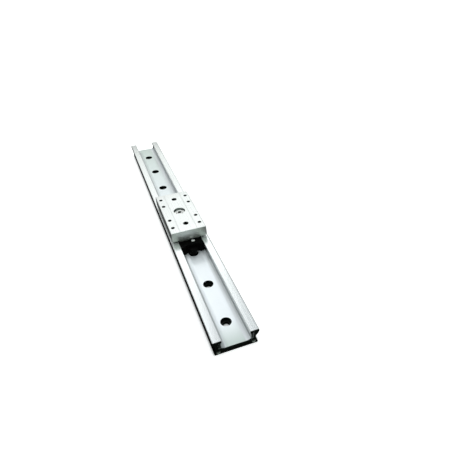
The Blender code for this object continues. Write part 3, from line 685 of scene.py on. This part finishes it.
# ---------------------------------------------------------------- rail
def rail_outline():
    """The extrusion's section, with every corner rounded as the die leaves it."""
    foot = [(FOOT_CENTRE[0], 0)] + arc(FOOT_CENTRE, FOOT_RADIUS, -84, 0, 8)
    waist = arc(WAIST_CENTRE, WAIST_RADIUS, 215, 145, 12)
    bulge = [BULGE_FOOT] + arc(BULGE_CENTRE, BULGE_RADIUS, -55, 0, 8)
    shoulder_x = BULGE_CENTRE[0] + BULGE_RADIUS - SHOULDER_RADIUS
    shoulder = arc((shoulder_x, RAIL_TOP - SHOULDER_RADIUS), SHOULDER_RADIUS, 0, 90, 12)
    corner = (LIP_INNER_X + LIP_CORNER_RADIUS, RAIL_TOP - LIP_CORNER_RADIUS)
    edge = (LIP_INNER_X + LIP_EDGE_RADIUS, LIP_UNDERSIDE_Z + LIP_EDGE_RADIUS)
    lip = arc(corner, LIP_CORNER_RADIUS, 90, 180, 6) + arc(edge, LIP_EDGE_RADIUS, 180, 270, 4)
    pocket = [(POCKET_BACK_X, LIP_UNDERSIDE_Z), (POCKET_BACK_X, POCKET_FLOOR_Z)]
    rise = POCKET_FLOOR_Z - FLOOR_Z
    run = FLANK_TOP_X - FLOOR_HALF_WIDTH
    radius = (run * run + rise * rise) / (2 * rise)
    reach = math.degrees(math.asin(run / radius))
    flank = arc((FLOOR_HALF_WIDTH, FLOOR_Z + radius), radius, -90 + reach, -90, 8)
    return mirrored(foot + waist + bulge + shoulder + lip + pocket + flank)


def rail_hole(at):
    seat = COUNTERBORE_SEAT_Z
    profile = [
        (0, FLOOR_Z + PAST),
        (COUNTERBORE_RADIUS + CHAMFER + PAST, FLOOR_Z + PAST),
        (COUNTERBORE_RADIUS, FLOOR_Z - CHAMFER),
        (COUNTERBORE_RADIUS, seat + BORE_FILLET),
        (COUNTERBORE_RADIUS - BORE_FILLET, seat),
        (BOLT_HOLE_RADIUS + BORE_FILLET, seat),
        (BOLT_HOLE_RADIUS, seat - BORE_FILLET),
        (BOLT_HOLE_RADIUS, CHAMFER),
        (BOLT_HOLE_RADIUS + CHAMFER + PAST, -PAST),
        (0, -PAST),
    ]
    return lathe("rail_hole", profile, at, ROUND)


def screw_port(sign):
    """A port along the whole rail for an end cap's screw, with a chamfered mouth at each end."""
    reach = RAIL_FAR + PAST
    mouth = RAIL_FAR - SCREW_PORT_CHAMFER
    wide = SCREW_PORT_RADIUS + SCREW_PORT_CHAMFER + PAST
    profile = [(0, reach), (wide, reach), (SCREW_PORT_RADIUS, mouth)]
    profile += [(SCREW_PORT_RADIUS, -mouth), (wide, -reach), (0, -reach)]
    port = lathe("screw_port", profile, sides=COARSE)
    moved(port, Matrix.Rotation(math.pi / 2, 4, "X"))
    return moved(port, Matrix.Translation((sign * SCREW_PORT[0], 0, SCREW_PORT[1])))


def rail_finish_or_shade(face):
    """The finish of one of the rail's own faces, from where it lies; the sawn ends, the outer sides and
    the channel get painted shade. None keeps the lips' finish.
    """
    margin = 0.1 * MM
    x, y, z = face.center
    if abs(face.normal.y) > 0.9 and abs(y) > RAIL_FAR - 2 * margin:
        return CUT_END_SHADE
    if abs(x) < POCKET_BACK_X + margin and FLOOR_Z - margin < z < LIP_UNDERSIDE_Z:
        return CHANNEL_FINISH_AND_SHADE
    if abs(x) > OUTSIDE_X and z < OUTSIDE_TOP:
        return OUTSIDE_PAINTED_SHADE
    return None


def make_rail():
    rail = extruded("rail_extrusion", rail_outline(), RAIL_NEAR, RAIL_FAR, along="Y")
    finished(beveled(rail, RAIL_EDGE, 2, 60), RAIL_FINISH)
    first = RAIL_NEAR + NEAR_MARGIN
    holes = [rail_hole((0, first + i * HOLE_PITCH, 0)) for i in range(HOLE_COUNT)]
    ports = [screw_port(sign) for sign in (-1, 1)]
    cuts = [joined("rail_holes", holes, BORE_PAINTED_SHADE), joined("ports", ports, PORT_FINISH)]
    combined(rail, cuts, "DIFFERENCE")
    show(rail, "rail", "rail", RAIL_FINISH)
    slots = {}
    # Slots for the outer sides, the channel and the sawn ends, all with painted shade.
    for finish in (OUTSIDE_PAINTED_SHADE, CHANNEL_FINISH_AND_SHADE, CUT_END_SHADE):
        slots[finish] = len(rail.data.materials)
        rail.data.materials.append(finish)
    for face in rail.data.polygons:
        finish = rail_finish_or_shade(face)
        if finish and not face.material_index:
            face.material_index = slots[finish]


def make_raceways():
    half = (LINER_HIGH.z - LINER_LOW.z) / 2
    centre = (RACEWAY_DEEPEST_X - RACEWAY_RADIUS, RACEWAY_Z)
    reach = math.degrees(math.asin((half - STRIP_EDGE) / RACEWAY_RADIUS))
    back = LINER_HIGH.x
    top, bottom = RACEWAY_Z + half, RACEWAY_Z - half
    for side, sign in (("left", -1), ("right", 1)):
        outline = arc(centre, RACEWAY_RADIUS, -reach, reach, 24)
        edge = outline[-1][0] + STRIP_EDGE
        outline += [(edge, top)] + broken_rim(back, top, bottom, STRIP_CHAMFER) + [(edge, bottom)]
        outline = [(sign * x, z) for x, z in outline]
        liner = extruded(f"raceway_strip_{side}", outline, LINER_LOW.y, LINER_HIGH.y, "Y")
        show(liner, f"raceway_{side}", "rail", RACEWAY_FINISH)
        # Painted shade on the strips' end faces.
        liner.data.materials.append(STRIP_END_SHADE)
        for face in liner.data.polygons:
            face.material_index = int(abs(face.normal.y) > 0.9)


# ---------------------------------------------------------------- carriage plate
def tapped_hole(at):
    top = PLATE_TOP
    bottom = top - TAP_DEPTH
    start = top - TAP_MOUTH
    profile = [(0, top + PAST), (TAP_ROOT_RADIUS + SMALL_EDGE + PAST, top + PAST)]
    profile += [(TAP_CORE_RADIUS, start)]
    profile += thread(TAP_ROOT_RADIUS, TAP_CORE_RADIUS, start - 0.1 * MM, bottom + TAP_PLAIN, TAP_PITCH)
    profile += [(TAP_CORE_RADIUS, bottom), (0, bottom - DRILL_POINT)]
    return lathe("tapped_hole", profile, at, 48)


def plate_hole(name, radius, below, at, sides):
    """A cutter for a chamfered round hole from the plate's top. below is the rest of its profile."""
    wide = radius + CHAMFER + PAST
    mouth = [(0, PLATE_TOP + PAST), (wide, PLATE_TOP + PAST), (radius, PLATE_TOP - CHAMFER)]
    return lathe(name, mouth + below, at, sides)


def stud_hole(at):
    bottom = WEB_BOTTOM - PAST
    below = [(STUD_HOLE_RADIUS, bottom), (0, bottom)]
    return plate_hole("stud_hole", STUD_HOLE_RADIUS, below, at, ROUND)


def nut_pocket():
    radius, floor, bottom = NUT_POCKET_RADIUS, NUT_POCKET_FLOOR, WEB_BOTTOM - PAST
    below = [(radius, floor + BORE_FILLET), (radius - BORE_FILLET, floor)]
    below += [(ECCENTRIC_HOLE_RADIUS, floor), (ECCENTRIC_HOLE_RADIUS, bottom), (0, bottom)]
    return plate_hole("nut_pocket", radius, below, (0, CARRIAGE_Y, 0), FINE)


def line_groove(sign, near, far):
    """One of the two fine lines along the plate's top, as a cutter with sloping sides."""
    middle = sign * LINE_X
    wide, narrow = LINE_HALF_WIDTH + LINE_DEPTH, LINE_HALF_WIDTH - LINE_DEPTH
    outline = [
        (middle - wide, PLATE_TOP + LINE_DEPTH),
        (middle + wide, PLATE_TOP + LINE_DEPTH),
        (middle + narrow, PLATE_TOP - LINE_DEPTH),
        (middle - narrow, PLATE_TOP - LINE_DEPTH),
    ]
    return extruded("line", outline, near - PAST, far + PAST, "Y")


def make_plate():
    half_length = PLATE_LENGTH / 2
    near, far = CARRIAGE_Y - half_length, CARRIAGE_Y + half_length
    plate = box(
        "mounting_plate", (PLATE_LOW.x, near, PLATE_BOTTOM), (PLATE_HIGH.x, far, PLATE_TOP)
    )
    finished(beveled(plate, PLATE_EDGE, 4), PLATE_FINISH)
    web = box(
        "web",
        (-WEB_HALF_WIDTH, CARRIAGE_Y - WEB_HALF_LENGTH, WEB_BOTTOM),
        (WEB_HALF_WIDTH, CARRIAGE_Y + WEB_HALF_LENGTH, PLATE_BOTTOM + OVERLAP),
    )
    tongue = box(
        "tongue",
        (-TONGUE_HALF_WIDTH, PLATE_LOW.y, PLATE_LOW.z),
        (TONGUE_HALF_WIDTH, PLATE_HIGH.y, TONGUE_TOP),
    )
    within_web = WEB_BOTTOM + 0.5 * MM
    clear = box(
        "tongue_gap",
        (-WEB_HALF_WIDTH, CARRIAGE_Y - TONGUE_ROOT, PLATE_LOW.z - PAST),
        (WEB_HALF_WIDTH, CARRIAGE_Y + TONGUE_ROOT, within_web),
    )
    combined(tongue, [clear], "DIFFERENCE")
    combined(plate, [beveled(web, WEB_EDGE, 2), tongue], "UNION")
    cutters = []
    for sign in (-1, 1):
        for y in (-TAP_Y[1], -TAP_Y[0], TAP_Y[0], TAP_Y[1]):
            cutters.append(tapped_hole((sign * TAP_X, CARRIAGE_Y + y, 0)))
        end = "front" if sign < 0 else "rear"
        x, y, _ = JOINTS[f"roller_{end}_spin"]["pos_m"]
        cutters.append(stud_hole((x, y, 0)))
        screw = (-sign * WIPER_SCREW[0], CARRIAGE_Y - sign * WIPER_SCREW[1], 0)
        low, high = PLATE_LOW.z - PAST, TONGUE_TOP + PAST
        cutters.append(bar("tongue_hole", WIPER_SCREW_RADIUS + GAP, low, high, screw, COARSE))
    pocket = finished(nut_pocket(), POCKET_PAINTED_SHADE)
    combined(plate, [joined("plate_cuts", cutters, BORE_PAINTED_SHADE), pocket], "DIFFERENCE")
    grooves = [line_groove(sign, near, far) for sign in (-1, 1)]
    combined(plate, [joined("lines", grooves)], "DIFFERENCE")
    show(plate, "carriage_plate", "carriage", PLATE_FINISH)
    # Painted shade on the plate's long sides.
    side = len(plate.data.materials)
    plate.data.materials.append(PLATE_SIDE_SHADE)
    for face in plate.data.polygons:
        if not face.material_index and abs(face.normal.x) > 0.9 and abs(face.center.x) > TAP_X:
            face.material_index = side


# ---------------------------------------------------------------- rollers
def outer_ring(at):
    """Crowned tread, faces stepped for the seals, and a ball groove inside."""
    half = ROLLER_HALF_HEIGHT
    reach = math.degrees(math.asin((half - CROWN_STEP) / CROWN_RADIUS))
    tread = arc((ROLLER_RADIUS - CROWN_RADIUS, 0), CROWN_RADIUS, reach, -reach, 20)
    face = ROLLER_RADIUS - RING_CHAMFER
    seat = OUTER_SHOULDER + SEAL_SEAT
    groove_radius = BALL_RADIUS + GAP
    groove_reach = math.degrees(math.acos((OUTER_SHOULDER - BALL_CIRCLE) / groove_radius))
    groove = arc((BALL_CIRCLE, 0), groove_radius, -groove_reach, groove_reach, 16)
    lower = [(face, -half)] + [(face - inward, -half + deep) for inward, deep in RIM_GROOVE]
    lower += [(seat, -half), (seat, -half + SEAL_STEP), (OUTER_SHOULDER, -half + SEAL_STEP)]
    upper = [(r, -z) for r, z in reversed(lower)]
    return lathe("outer_ring", tread + lower + groove + upper, at, FINE, ring=True)


def inner_ring(at):
    half = ROLLER_HALF_HEIGHT
    groove_radius = BALL_RADIUS + GAP
    reach = math.degrees(math.acos((BALL_CIRCLE - INNER_SHOULDER) / groove_radius))
    groove = arc((BALL_CIRCLE, 0), groove_radius, 180 - reach, 180 + reach, 16)
    edge = SMALL_EDGE
    side = [(INNER_SHOULDER, -half + edge), (INNER_SHOULDER - edge, -half)]
    side += [(INNER_BORE + edge, -half), (INNER_BORE, -half + edge)]
    top = [(r, -z) for r, z in reversed(side)]
    return lathe("inner_ring", groove + side + top, at, ROUND, ring=True)


def on_ball_circle(at, first):
    """BALL_COUNT points on the ball circle about a place. first is a share of one step."""
    angles = [2 * math.pi * (i + first) / BALL_COUNT for i in range(BALL_COUNT)]
    return [Vector(at) + Vector((math.cos(a), math.sin(a), 0)) * BALL_CIRCLE for a in angles]


def balls(name, radius, at):
    made = []
    for centre in on_ball_circle(at, 0.5):
        shape = bmesh.new()
        bmesh.ops.create_uvsphere(shape, u_segments=32, v_segments=20, radius=radius)
        made.append(to_object(name, shape, centre))
    return made


def cage(at):
    """A ring with a round pocket for each ball."""
    half, edge = CAGE_HALF_HEIGHT, SMALL_EDGE
    right = BALL_CIRCLE + CAGE_HALF_WIDTH
    left = BALL_CIRCLE - CAGE_HALF_WIDTH
    profile = broken_rim(right, half, -half, edge) + broken_rim(left, -half, half, -edge)
    ring = lathe("cage", profile, at, FINE, ring=True)
    pockets = balls("pocket", BALL_RADIUS + BALL_PLAY, at)
    # The pockets leave bridges above and below each ball, so the ring stays in one piece.
    bridges = []
    for sign in (-1, 1):
        z = sign * (BALL_RADIUS - 0.1 * MM)
        low, high = sorted((z, z + sign * CAGE_BRIDGE))
        band = [(right, high), (right, low), (left, low), (left, high)]
        bridges.append(lathe("bridge", band, at, FINE, ring=True))
    reach = BALL_RADIUS - 0.05 * MM
    posts = []
    for centre in on_ball_circle(at, 0.0):
        posts.append(bar("post", CAGE_POST_RADIUS, -reach, reach, centre, 24))
    combined(ring, [joined("pockets", pockets)], "DIFFERENCE")
    combined(ring, bridges + [joined("posts", posts)], "UNION")
    return ring


def seal(at, sign):
    """A flat seal with a raised bead near its lip. sign is +1 for the upper one."""
    outer = OUTER_SHOULDER + 0.5 * MM
    inner = INNER_SHOULDER + GAP
    face = ROLLER_HALF_HEIGHT - GAP
    back = face - SEAL_THICKNESS
    flat = face - 0.1 * MM
    low = face - 0.2 * MM
    bead = [(inner + out, z) for out, z in zip(SEAL_BEAD, (flat, face, face, low))]
    profile = [(outer, back), (outer, face - 0.15 * MM), (outer - 0.15 * MM, flat)]
    profile += bead + [(inner, low), (inner, back)]
    return lathe("seal", [(r, sign * z) for r, z in profile], at, FINE, ring=True)


def make_bearing(end, ring_body):
    x, y, z = JOINTS[f"roller_{end}_spin"]["pos_m"]
    at = (x, y, z)
    spin, orbit = f"roller_{end}", f"cage_{end}"
    ring = named(outer_ring(at), f"roller_tread_{end}")
    show(ring, f"outer_ring_{end}", spin, BEARING_FINISH)
    core = named(inner_ring(at), f"roller_core_{end}")
    show(core, f"inner_ring_{end}", ring_body, BEARING_FINISH)
    frame_ring = named(cage(at), f"cage_frame_{end}")
    show(frame_ring, f"ball_cage_{end}", orbit, CAGE_FINISH, 35)
    for i, ball in enumerate(balls("ball", BALL_RADIUS, at)):
        show(named(ball, f"ball_{end}_{i + 1}"), None, orbit, BALL_FINISH, 60)
    for level, sign in (("lower", -1), ("upper", 1)):
        disc = named(seal(at, sign), f"seal_disc_{level}_{end}")
        show(disc, f"seal_{level}_{end}", spin, SEAL_FINISH)


def stud_profile(radius, root, top, shank_bottom, threaded_to):
    """The upper part of a stud's profile: a threaded shank with a chamfered end."""
    profile = [(0, top), (radius - 0.6 * MM, top)]
    profile += thread(root, radius, top - 0.3 * MM, threaded_to, STUD_PITCH)
    return profile + [(radius, shank_bottom)]


def make_fixed_stud(end):
    low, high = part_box(f"stud_{end}")
    x, y, _ = JOINTS[f"roller_{end}_spin"]["pos_m"]
    head_top = RING_LOW.z - GAP
    thread_end = high.z - STUD_THREAD
    profile = stud_profile(STUD_RADIUS, STUD_ROOT_RADIUS, high.z, head_top, thread_end)
    profile += broken_rim((high.x - low.x) / 2, head_top, low.z, HEAD_EDGE) + [(0, low.z)]
    stud = lathe(f"roller_stud_{end}", profile, (x, y, 0), ROUND)
    socket = hexagon("socket", STUD_SOCKET, high.z - SOCKET_DEPTH, high.z + PAST, (x, y))
    combined(finished(stud, ZINC_FINISH), [finished(socket, BORE_PAINTED_SHADE)], "DIFFERENCE")
    show(stud, f"stud_{end}", "carriage", ZINC_FINISH)
    low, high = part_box(f"spacer_{end}")
    outer = (high.x - low.x) / 2
    profile = broken_rim(outer, high.z, low.z, SMALL_EDGE)
    profile += [(INNER_BORE, low.z), (INNER_BORE, high.z)]
    spacer = lathe(f"stud_spacer_{end}", profile, (x, y, 0), ROUND, ring=True)
    show(spacer, f"spacer_{end}", "carriage", ZINC_FINISH)


def make_eccentric():
    low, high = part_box("stud_middle")
    top = high.z
    x, y, _ = JOINTS["roller_middle_spin"]["pos_m"]
    shank_at = (0, CARRIAGE_Y, 0)
    shank_bottom = RING_HIGH.z + GAP
    radius, root = ECCENTRIC_RADIUS, ECCENTRIC_ROOT_RADIUS
    profile = stud_profile(radius, root, top, shank_bottom, ECCENTRIC_THREAD_END)
    stud = lathe("eccentric_stud", profile + [(0, shank_bottom)], shank_at, FINE)
    finished(stud, ZINC_FINISH)
    head_top = RING_LOW.z - GAP
    journal_top = shank_bottom + PAST
    journal = [(0, journal_top), (STUD_RADIUS, journal_top), (STUD_RADIUS, head_top)]
    journal += [(HEAD_RADIUS, head_top)]
    journal += broken_rim(HEAD_RADIUS, head_top, low.z, HEAD_EDGE)[2:] + [(0, low.z)]
    combined(stud, [lathe("journal", journal, (x, y, 0), ROUND)], "UNION")
    socket = hexagon("socket", ECCENTRIC_SOCKET, top - SOCKET_DEPTH, top + PAST, shank_at)
    wide, narrow, depth = SOCKET_ENTRY
    entry = [(0, top + PAST), (wide, top + PAST), (narrow, top - depth), (0, top - depth)]
    entry = lathe("entry", entry, shank_at, ROUND)
    combined(stud, [finished(socket, BORE_PAINTED_SHADE), finished(entry, ZINC_FINISH)], "DIFFERENCE")
    show(stud, "stud_middle", "eccentric", ZINC_FINISH)


def make_lock_nut():
    at = (0, CARRIAGE_Y, 0)
    bore = ECCENTRIC_RADIUS + GAP
    low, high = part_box("lock_washer")
    rim = (high.x - low.x) / 2
    profile = broken_rim(rim, high.z, low.z, WASHER_EDGE) + [(bore, low.z), (bore, high.z)]
    washer = lathe("pocket_washer", profile, at, FINE, ring=True)
    show(washer, "lock_washer", "carriage", ZINC_FINISH)
    low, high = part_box("lock_nut")
    rim = (high.x - low.x) / 2
    profile = broken_rim(rim, high.z, low.z, NUT_EDGE)
    profile += broken_rim(bore, low.z, high.z, -NUT_EDGE)
    nut = lathe("slotted_nut", profile, at, FINE, ring=True)
    slots = []
    for i in range(NUT_SLOT_COUNT):
        near = (NUT_SLOT_FLOOR, -NUT_SLOT_HALF_WIDTH, low.z - PAST)
        slot = box("slot", near, (rim + PAST, NUT_SLOT_HALF_WIDTH, high.z + PAST))
        spin = Matrix.Rotation(2 * math.pi * (i + 0.5) / NUT_SLOT_COUNT, 4, "Z")
        slots.append(moved(slot, Matrix.Translation(at) @ spin))
    combined(nut, [joined("slots", slots)], "DIFFERENCE")
    beveled(nut, 0.1 * MM, 2, 50)
    show(nut, "lock_nut", "carriage", ZINC_FINISH)


# ---------------------------------------------------------------- wipers
def wiper_plan():
    """The front wiper from above, about the carriage's middle: a round nose between scallops.

    It is drawn a little wide, because the section cuts it to width.
    """
    width = WIPER_HALF_WIDTH + PAST
    front = -WIPER_FRONT
    notch = NOSE_RADIUS + SCALLOP_RADIUS
    corner = (width - WIPER_CORNER_RADIUS, front + WIPER_CORNER_RADIUS)
    half = [(width, -WIPER_BACK)]
    half += arc(corner, WIPER_CORNER_RADIUS, 0, -90, 10)
    half += arc((notch, front), SCALLOP_RADIUS, 0, 180, 16)
    half += arc((0, front), NOSE_RADIUS, 0, -90, 20)[1:]
    return mirrored(half)


def wiper_section():
    half = [
        (WIPER_FOOT_HALF_WIDTH, WIPER_BOTTOM),
        WIPER_FLANK,
        (WIPER_HALF_WIDTH, WIPER_FLANK_TOP),
        (WIPER_HALF_WIDTH, WIPER_TOP - WIPER_EDGE),
        (WIPER_HALF_WIDTH - WIPER_EDGE, WIPER_TOP),
    ]
    return mirrored(half)


def wiper_body():
    nose = -WIPER_FRONT - NOSE_RADIUS
    plan = extruded("plan", wiper_plan(), WIPER_BOTTOM - PAST, WIPER_TOP + PAST)
    finished(plan, PLASTIC_FINISH)
    section = extruded("section", wiper_section(), nose - PAST, -WIPER_BACK + PAST, "Y")
    combined(plan, [section], "INTERSECT")
    step = box(
        "step",
        (-STEP_HALF_WIDTH, nose - PAST, NOSE_TOP),
        (STEP_HALF_WIDTH, -WIPER_FRONT + STEP_BACK, WIPER_TOP + PAST),
    )
    combined(plan, [step], "DIFFERENCE")
    beveled(plan, WIPER_ROUNDING, 3, 40)
    tongue = box(
        "tongue_slot",
        (-TONGUE_HALF_WIDTH - GAP, PLATE_LOW.y - CARRIAGE_Y - GAP, PLATE_LOW.z - GAP),
        (TONGUE_HALF_WIDTH + GAP, -WIPER_BACK + PAST, TONGUE_TOP + GAP),
    )
    cutters = [tongue]
    for sign in (-1, 1):
        xs = sorted((sign * (FELT_LOW.x - GAP), sign * (FELT_HIGH.x + PAST)))
        low = (xs[0], FELT_LOW.y - CARRIAGE_Y - GAP, FELT_LOW.z - GAP)
        high = (xs[1], FELT_HIGH.y - CARRIAGE_Y + GAP, FELT_HIGH.z + GAP)
        cutters.append(box("felt_pocket", low, high))
    combined(plan, [joined("wiper_cuts", cutters)], "DIFFERENCE")
    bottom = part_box("wiper_screw_front")[0].z - PAST
    hole = bar("hole", WIPER_SCREW_RADIUS + GAP, bottom, WIPER_TOP + PAST, (*WIPER_SCREW, 0), 48)
    combined(plan, [hole], "DIFFERENCE")
    return plan


def felt_pad(sign):
    xs = sorted((sign * FELT_LOW.x, sign * FELT_HIGH.x))
    low = (xs[0], FELT_LOW.y - CARRIAGE_Y, FELT_LOW.z)
    high = (xs[1], FELT_HIGH.y - CARRIAGE_Y, FELT_HIGH.z)
    return beveled(box("felt", low, high), FELT_EDGE, 4)


def wiper_screw():
    """A pan-head screw with a domed head and a hexagon socket."""
    low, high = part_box("wiper_screw_front")
    head = (high.x - low.x) / 2
    head_bottom = WIPER_TOP + GAP
    tall = high.z - head_bottom
    edge = 0.1 * MM
    profile = [(0, high.z)]
    for degrees in range(80, -1, -10):
        angle = math.radians(degrees)
        rise = tall * (0.25 + 0.75 * math.sin(angle))
        profile.append((head * math.cos(angle), head_bottom + rise))
    profile += [(head, head_bottom + edge), (head - edge, head_bottom)]
    profile += [(WIPER_SCREW_RADIUS, head_bottom)]
    start, end = head_bottom - 0.5 * MM, low.z + 0.3 * MM
    profile += thread(WIPER_SCREW_ROOT, WIPER_SCREW_RADIUS, start, end, WIPER_SCREW_PITCH)
    profile += [(WIPER_SCREW_TIP, low.z), (0, low.z)]
    screw = lathe("screw", profile, (*WIPER_SCREW, 0), ROUND)
    bottom = high.z - WIPER_SCREW_SOCKET_DEPTH
    socket = hexagon("socket", WIPER_SCREW_SOCKET, bottom, high.z + PAST, WIPER_SCREW)
    return combined(finished(screw, HEAD_FINISH), [finished(socket, BORE_PAINTED_SHADE)], "DIFFERENCE")


def make_wiper(end):
    turn = Matrix.Rotation(0 if end == "front" else math.pi, 4, "Z")
    place = Matrix.Translation((0, CARRIAGE_Y, 0)) @ turn
    body = named(moved(wiper_body(), place), f"wiper_moulding_{end}")
    show(body, f"wiper_{end}", "carriage", PLASTIC_FINISH)
    for side, sign in (("left", -1), ("right", 1)):
        pad = named(moved(felt_pad(sign), place), f"felt_pad_{end}_{side}")
        show(pad, f"felt_{end}_{side}", "carriage", FELT_FINISH)
    screw = named(moved(wiper_screw(), place), f"wiper_pan_screw_{end}")
    show(screw, f"wiper_screw_{end}", "carriage", HEAD_FINISH)


# ---------------------------------------------------------------- studio
def make_floor():
    """Pale paper that glows a little, but not under the rail, where its holes look down on it."""
    shape = bmesh.new()
    bmesh.ops.create_grid(shape, x_segments=2, y_segments=2, size=PAPER_HALF_SIZE)
    floor = to_object("studio_floor", shape, (0, 0, -PAPER_DROP))
    paper = Finish("pale_paper", (0.93, 0.93, 0.93), 0.0, 0.9)
    paper.shader.inputs["Specular IOR Level"].default_value = 0.1
    paper.shader.inputs["Emission Color"].default_value = (1, 1, 1, 1)
    x, y, _ = paper.parts()
    across = paper.maths("SUBTRACT", paper.maths("ABSOLUTE", x), RAIL_HIGH.x)
    along = paper.maths("SUBTRACT", paper.maths("ABSOLUTE", y), RAIL_FAR)
    outside = paper.ranged(paper.maths("MAXIMUM", across, along), 0.0, PAPER_GLOW, -3 * MM, 0.0)
    paper.links.new(outside, paper.shader.inputs["Emission Strength"])
    floor.data.materials.append(paper.material)
    floor.visible_glossy = False
    return floor


class Sky(Nodes):
    """A world whose light depends on direction, and which is plain and pale where it's seen."""

    def __init__(self):
        world = bpy.data.worlds.new("studio_sky")
        bpy.context.scene.world = world
        world.use_nodes = True
        world.node_tree.nodes.clear()
        super().__init__(world.node_tree, "Generated")

    def by_height(self, stops):
        """Colour by the direction's z, from a list of (z, colour)."""
        made = self.nodes.new("ShaderNodeValToRGB")
        ramp = made.color_ramp
        while len(ramp.elements) < len(stops):
            ramp.elements.new(0.5)
        for element, (z, colour) in zip(ramp.elements, stops):
            element.position = (z + 1) / 2
            element.color = (*colour, 1)
        _, _, height = self.parts()
        self.links.new(self.ranged(height, 0.0, 1.0, -1.0, 1.0), made.inputs["Fac"])
        return made.outputs["Color"]

    def side(self, towards, low, high):
        """0 to 1 as the direction's part along towards goes from low to high."""
        dot = self.nodes.new("ShaderNodeVectorMath")
        dot.operation = "DOT_PRODUCT"
        dot.inputs[1].default_value = Vector(towards).normalized()
        self.links.new(self.place, dot.inputs[0])
        made = self.nodes.new("ShaderNodeMapRange")
        made.interpolation_type = "SMOOTHSTEP"
        made.inputs["From Min"].default_value = low
        made.inputs["From Max"].default_value = high
        self.links.new(dot.outputs["Value"], made.inputs["Value"])
        return made.outputs["Result"]

    def lobe(self, towards, inner, outer):
        """1 within inner degrees of a direction, falling smoothly to 0 at outer degrees."""
        return self.side(towards, math.cos(math.radians(outer)), math.cos(math.radians(inner)))

    def finish(self, colour, seen):
        lit = self.nodes.new("ShaderNodeBackground")
        self.links.new(colour, lit.inputs["Color"])
        pale = self.nodes.new("ShaderNodeBackground")
        pale.inputs["Color"].default_value = (*seen, 1)
        path = self.nodes.new("ShaderNodeLightPath")
        choose = self.nodes.new("ShaderNodeMixShader")
        self.links.new(path.outputs["Is Camera Ray"], choose.inputs["Fac"])
        self.links.new(lit.outputs["Background"], choose.inputs[1])
        self.links.new(pale.outputs["Background"], choose.inputs[2])
        out = self.nodes.new("ShaderNodeOutputWorld")
        self.links.new(choose.outputs["Shader"], out.inputs["Surface"])


def make_sky():
    sky = Sky()
    colour = sky.by_height([
        (-1.00, (0.002, 0.002, 0.002)),
        (-0.36, (0.004, 0.004, 0.004)),
        (-0.10, (0.09, 0.10, 0.09)),
        (0.15, (0.42, 0.45, 0.43)),
        (0.60, (0.42, 0.44, 0.44)),
        (1.00, (0.68, 0.71, 0.75)),
    ])
    # Dark flags, then the panel, cut off at its left and its right, and its brightest part.
    colour = sky.mixed(sky.lobe(BACK_FLAG, 25, 60), colour, (0.46, 0.60, 0.48), "MULTIPLY")
    colour = sky.mixed(sky.lobe(LEFT_FLAG, 26, 42), colour, (0.10, 0.11, 0.10), "MULTIPLY")
    colour = sky.mixed(sky.lobe(RIGHT_FLAG, 10, 28), colour, (0.30, 0.31, 0.32), "MULTIPLY")
    panel = sky.lobe(PANEL, 27, 50)
    panel = sky.maths("MULTIPLY", panel, sky.side((1, 0.1, 0), -0.12, 0.05))
    panel = sky.maths("MULTIPLY", panel, sky.side((-1, 0.53, 0), -0.07, 0.05))
    colour = sky.mixed(panel, colour, (0.63, 0.64, 0.63), "ADD")
    colour = sky.mixed(sky.lobe(HOT_SPOT, 4, 17), colour, (0.48, 0.49, 0.49), "ADD")
    sky.finish(colour, (0.98, 0.98, 0.98))


def sun(name, towards, strength, angle):
    """Soft light from a direction, which metal doesn't mirror."""
    lamp = bpy.data.lights.new(name, "SUN")
    lamp.energy = strength
    lamp.angle = math.radians(angle)
    made = bpy.data.objects.new(name, lamp)
    made.rotation_euler = Vector(towards).to_track_quat("Z", "Y").to_euler()
    made.visible_glossy = False
    bpy.context.scene.collection.objects.link(made)
    return made


def spare(lamp, obj):
    """Keeps a lamp's light off an object."""
    lit = bpy.data.collections.new(f"lit_by_{lamp.name}")
    lit.objects.link(obj)
    lit.collection_objects[0].light_linking.link_state = "EXCLUDE"
    lamp.light_linking.receiver_collection = lit


def make_camera():
    data = bpy.data.cameras.new("camera")
    data.sensor_width = 36
    data.lens = CAMERA_LENS
    data.clip_start = 0.01
    camera = bpy.data.objects.new("camera", data)
    camera.location = CAMERA_PLACE
    turn = (Vector(CAMERA_AIM) - camera.location).to_track_quat("-Z", "Y").to_matrix().to_4x4()
    roll = Matrix.Rotation(math.radians(CAMERA_ROLL), 4, "Z")
    camera.rotation_euler = (turn @ roll).to_euler()
    bpy.context.scene.collection.objects.link(camera)
    bpy.context.scene.camera = camera


def main():
    make_rail()
    make_raceways()
    make_plate()
    for end in ("front", "rear"):
        make_bearing(end, "carriage")
        make_fixed_stud(end)
        make_wiper(end)
    make_bearing("middle", "eccentric")
    make_eccentric()
    make_lock_nut()
    floor = make_floor()
    make_sky()
    sun("overhead_softbox", OVERHEAD, 1.2, 50)
    spare(sun("back_light", BACK_LIGHT, 1.7, 4), floor)
    make_camera()
    bpy.context.scene.view_settings.view_transform = "Standard"


main()
bpy.context.view_layer.update()
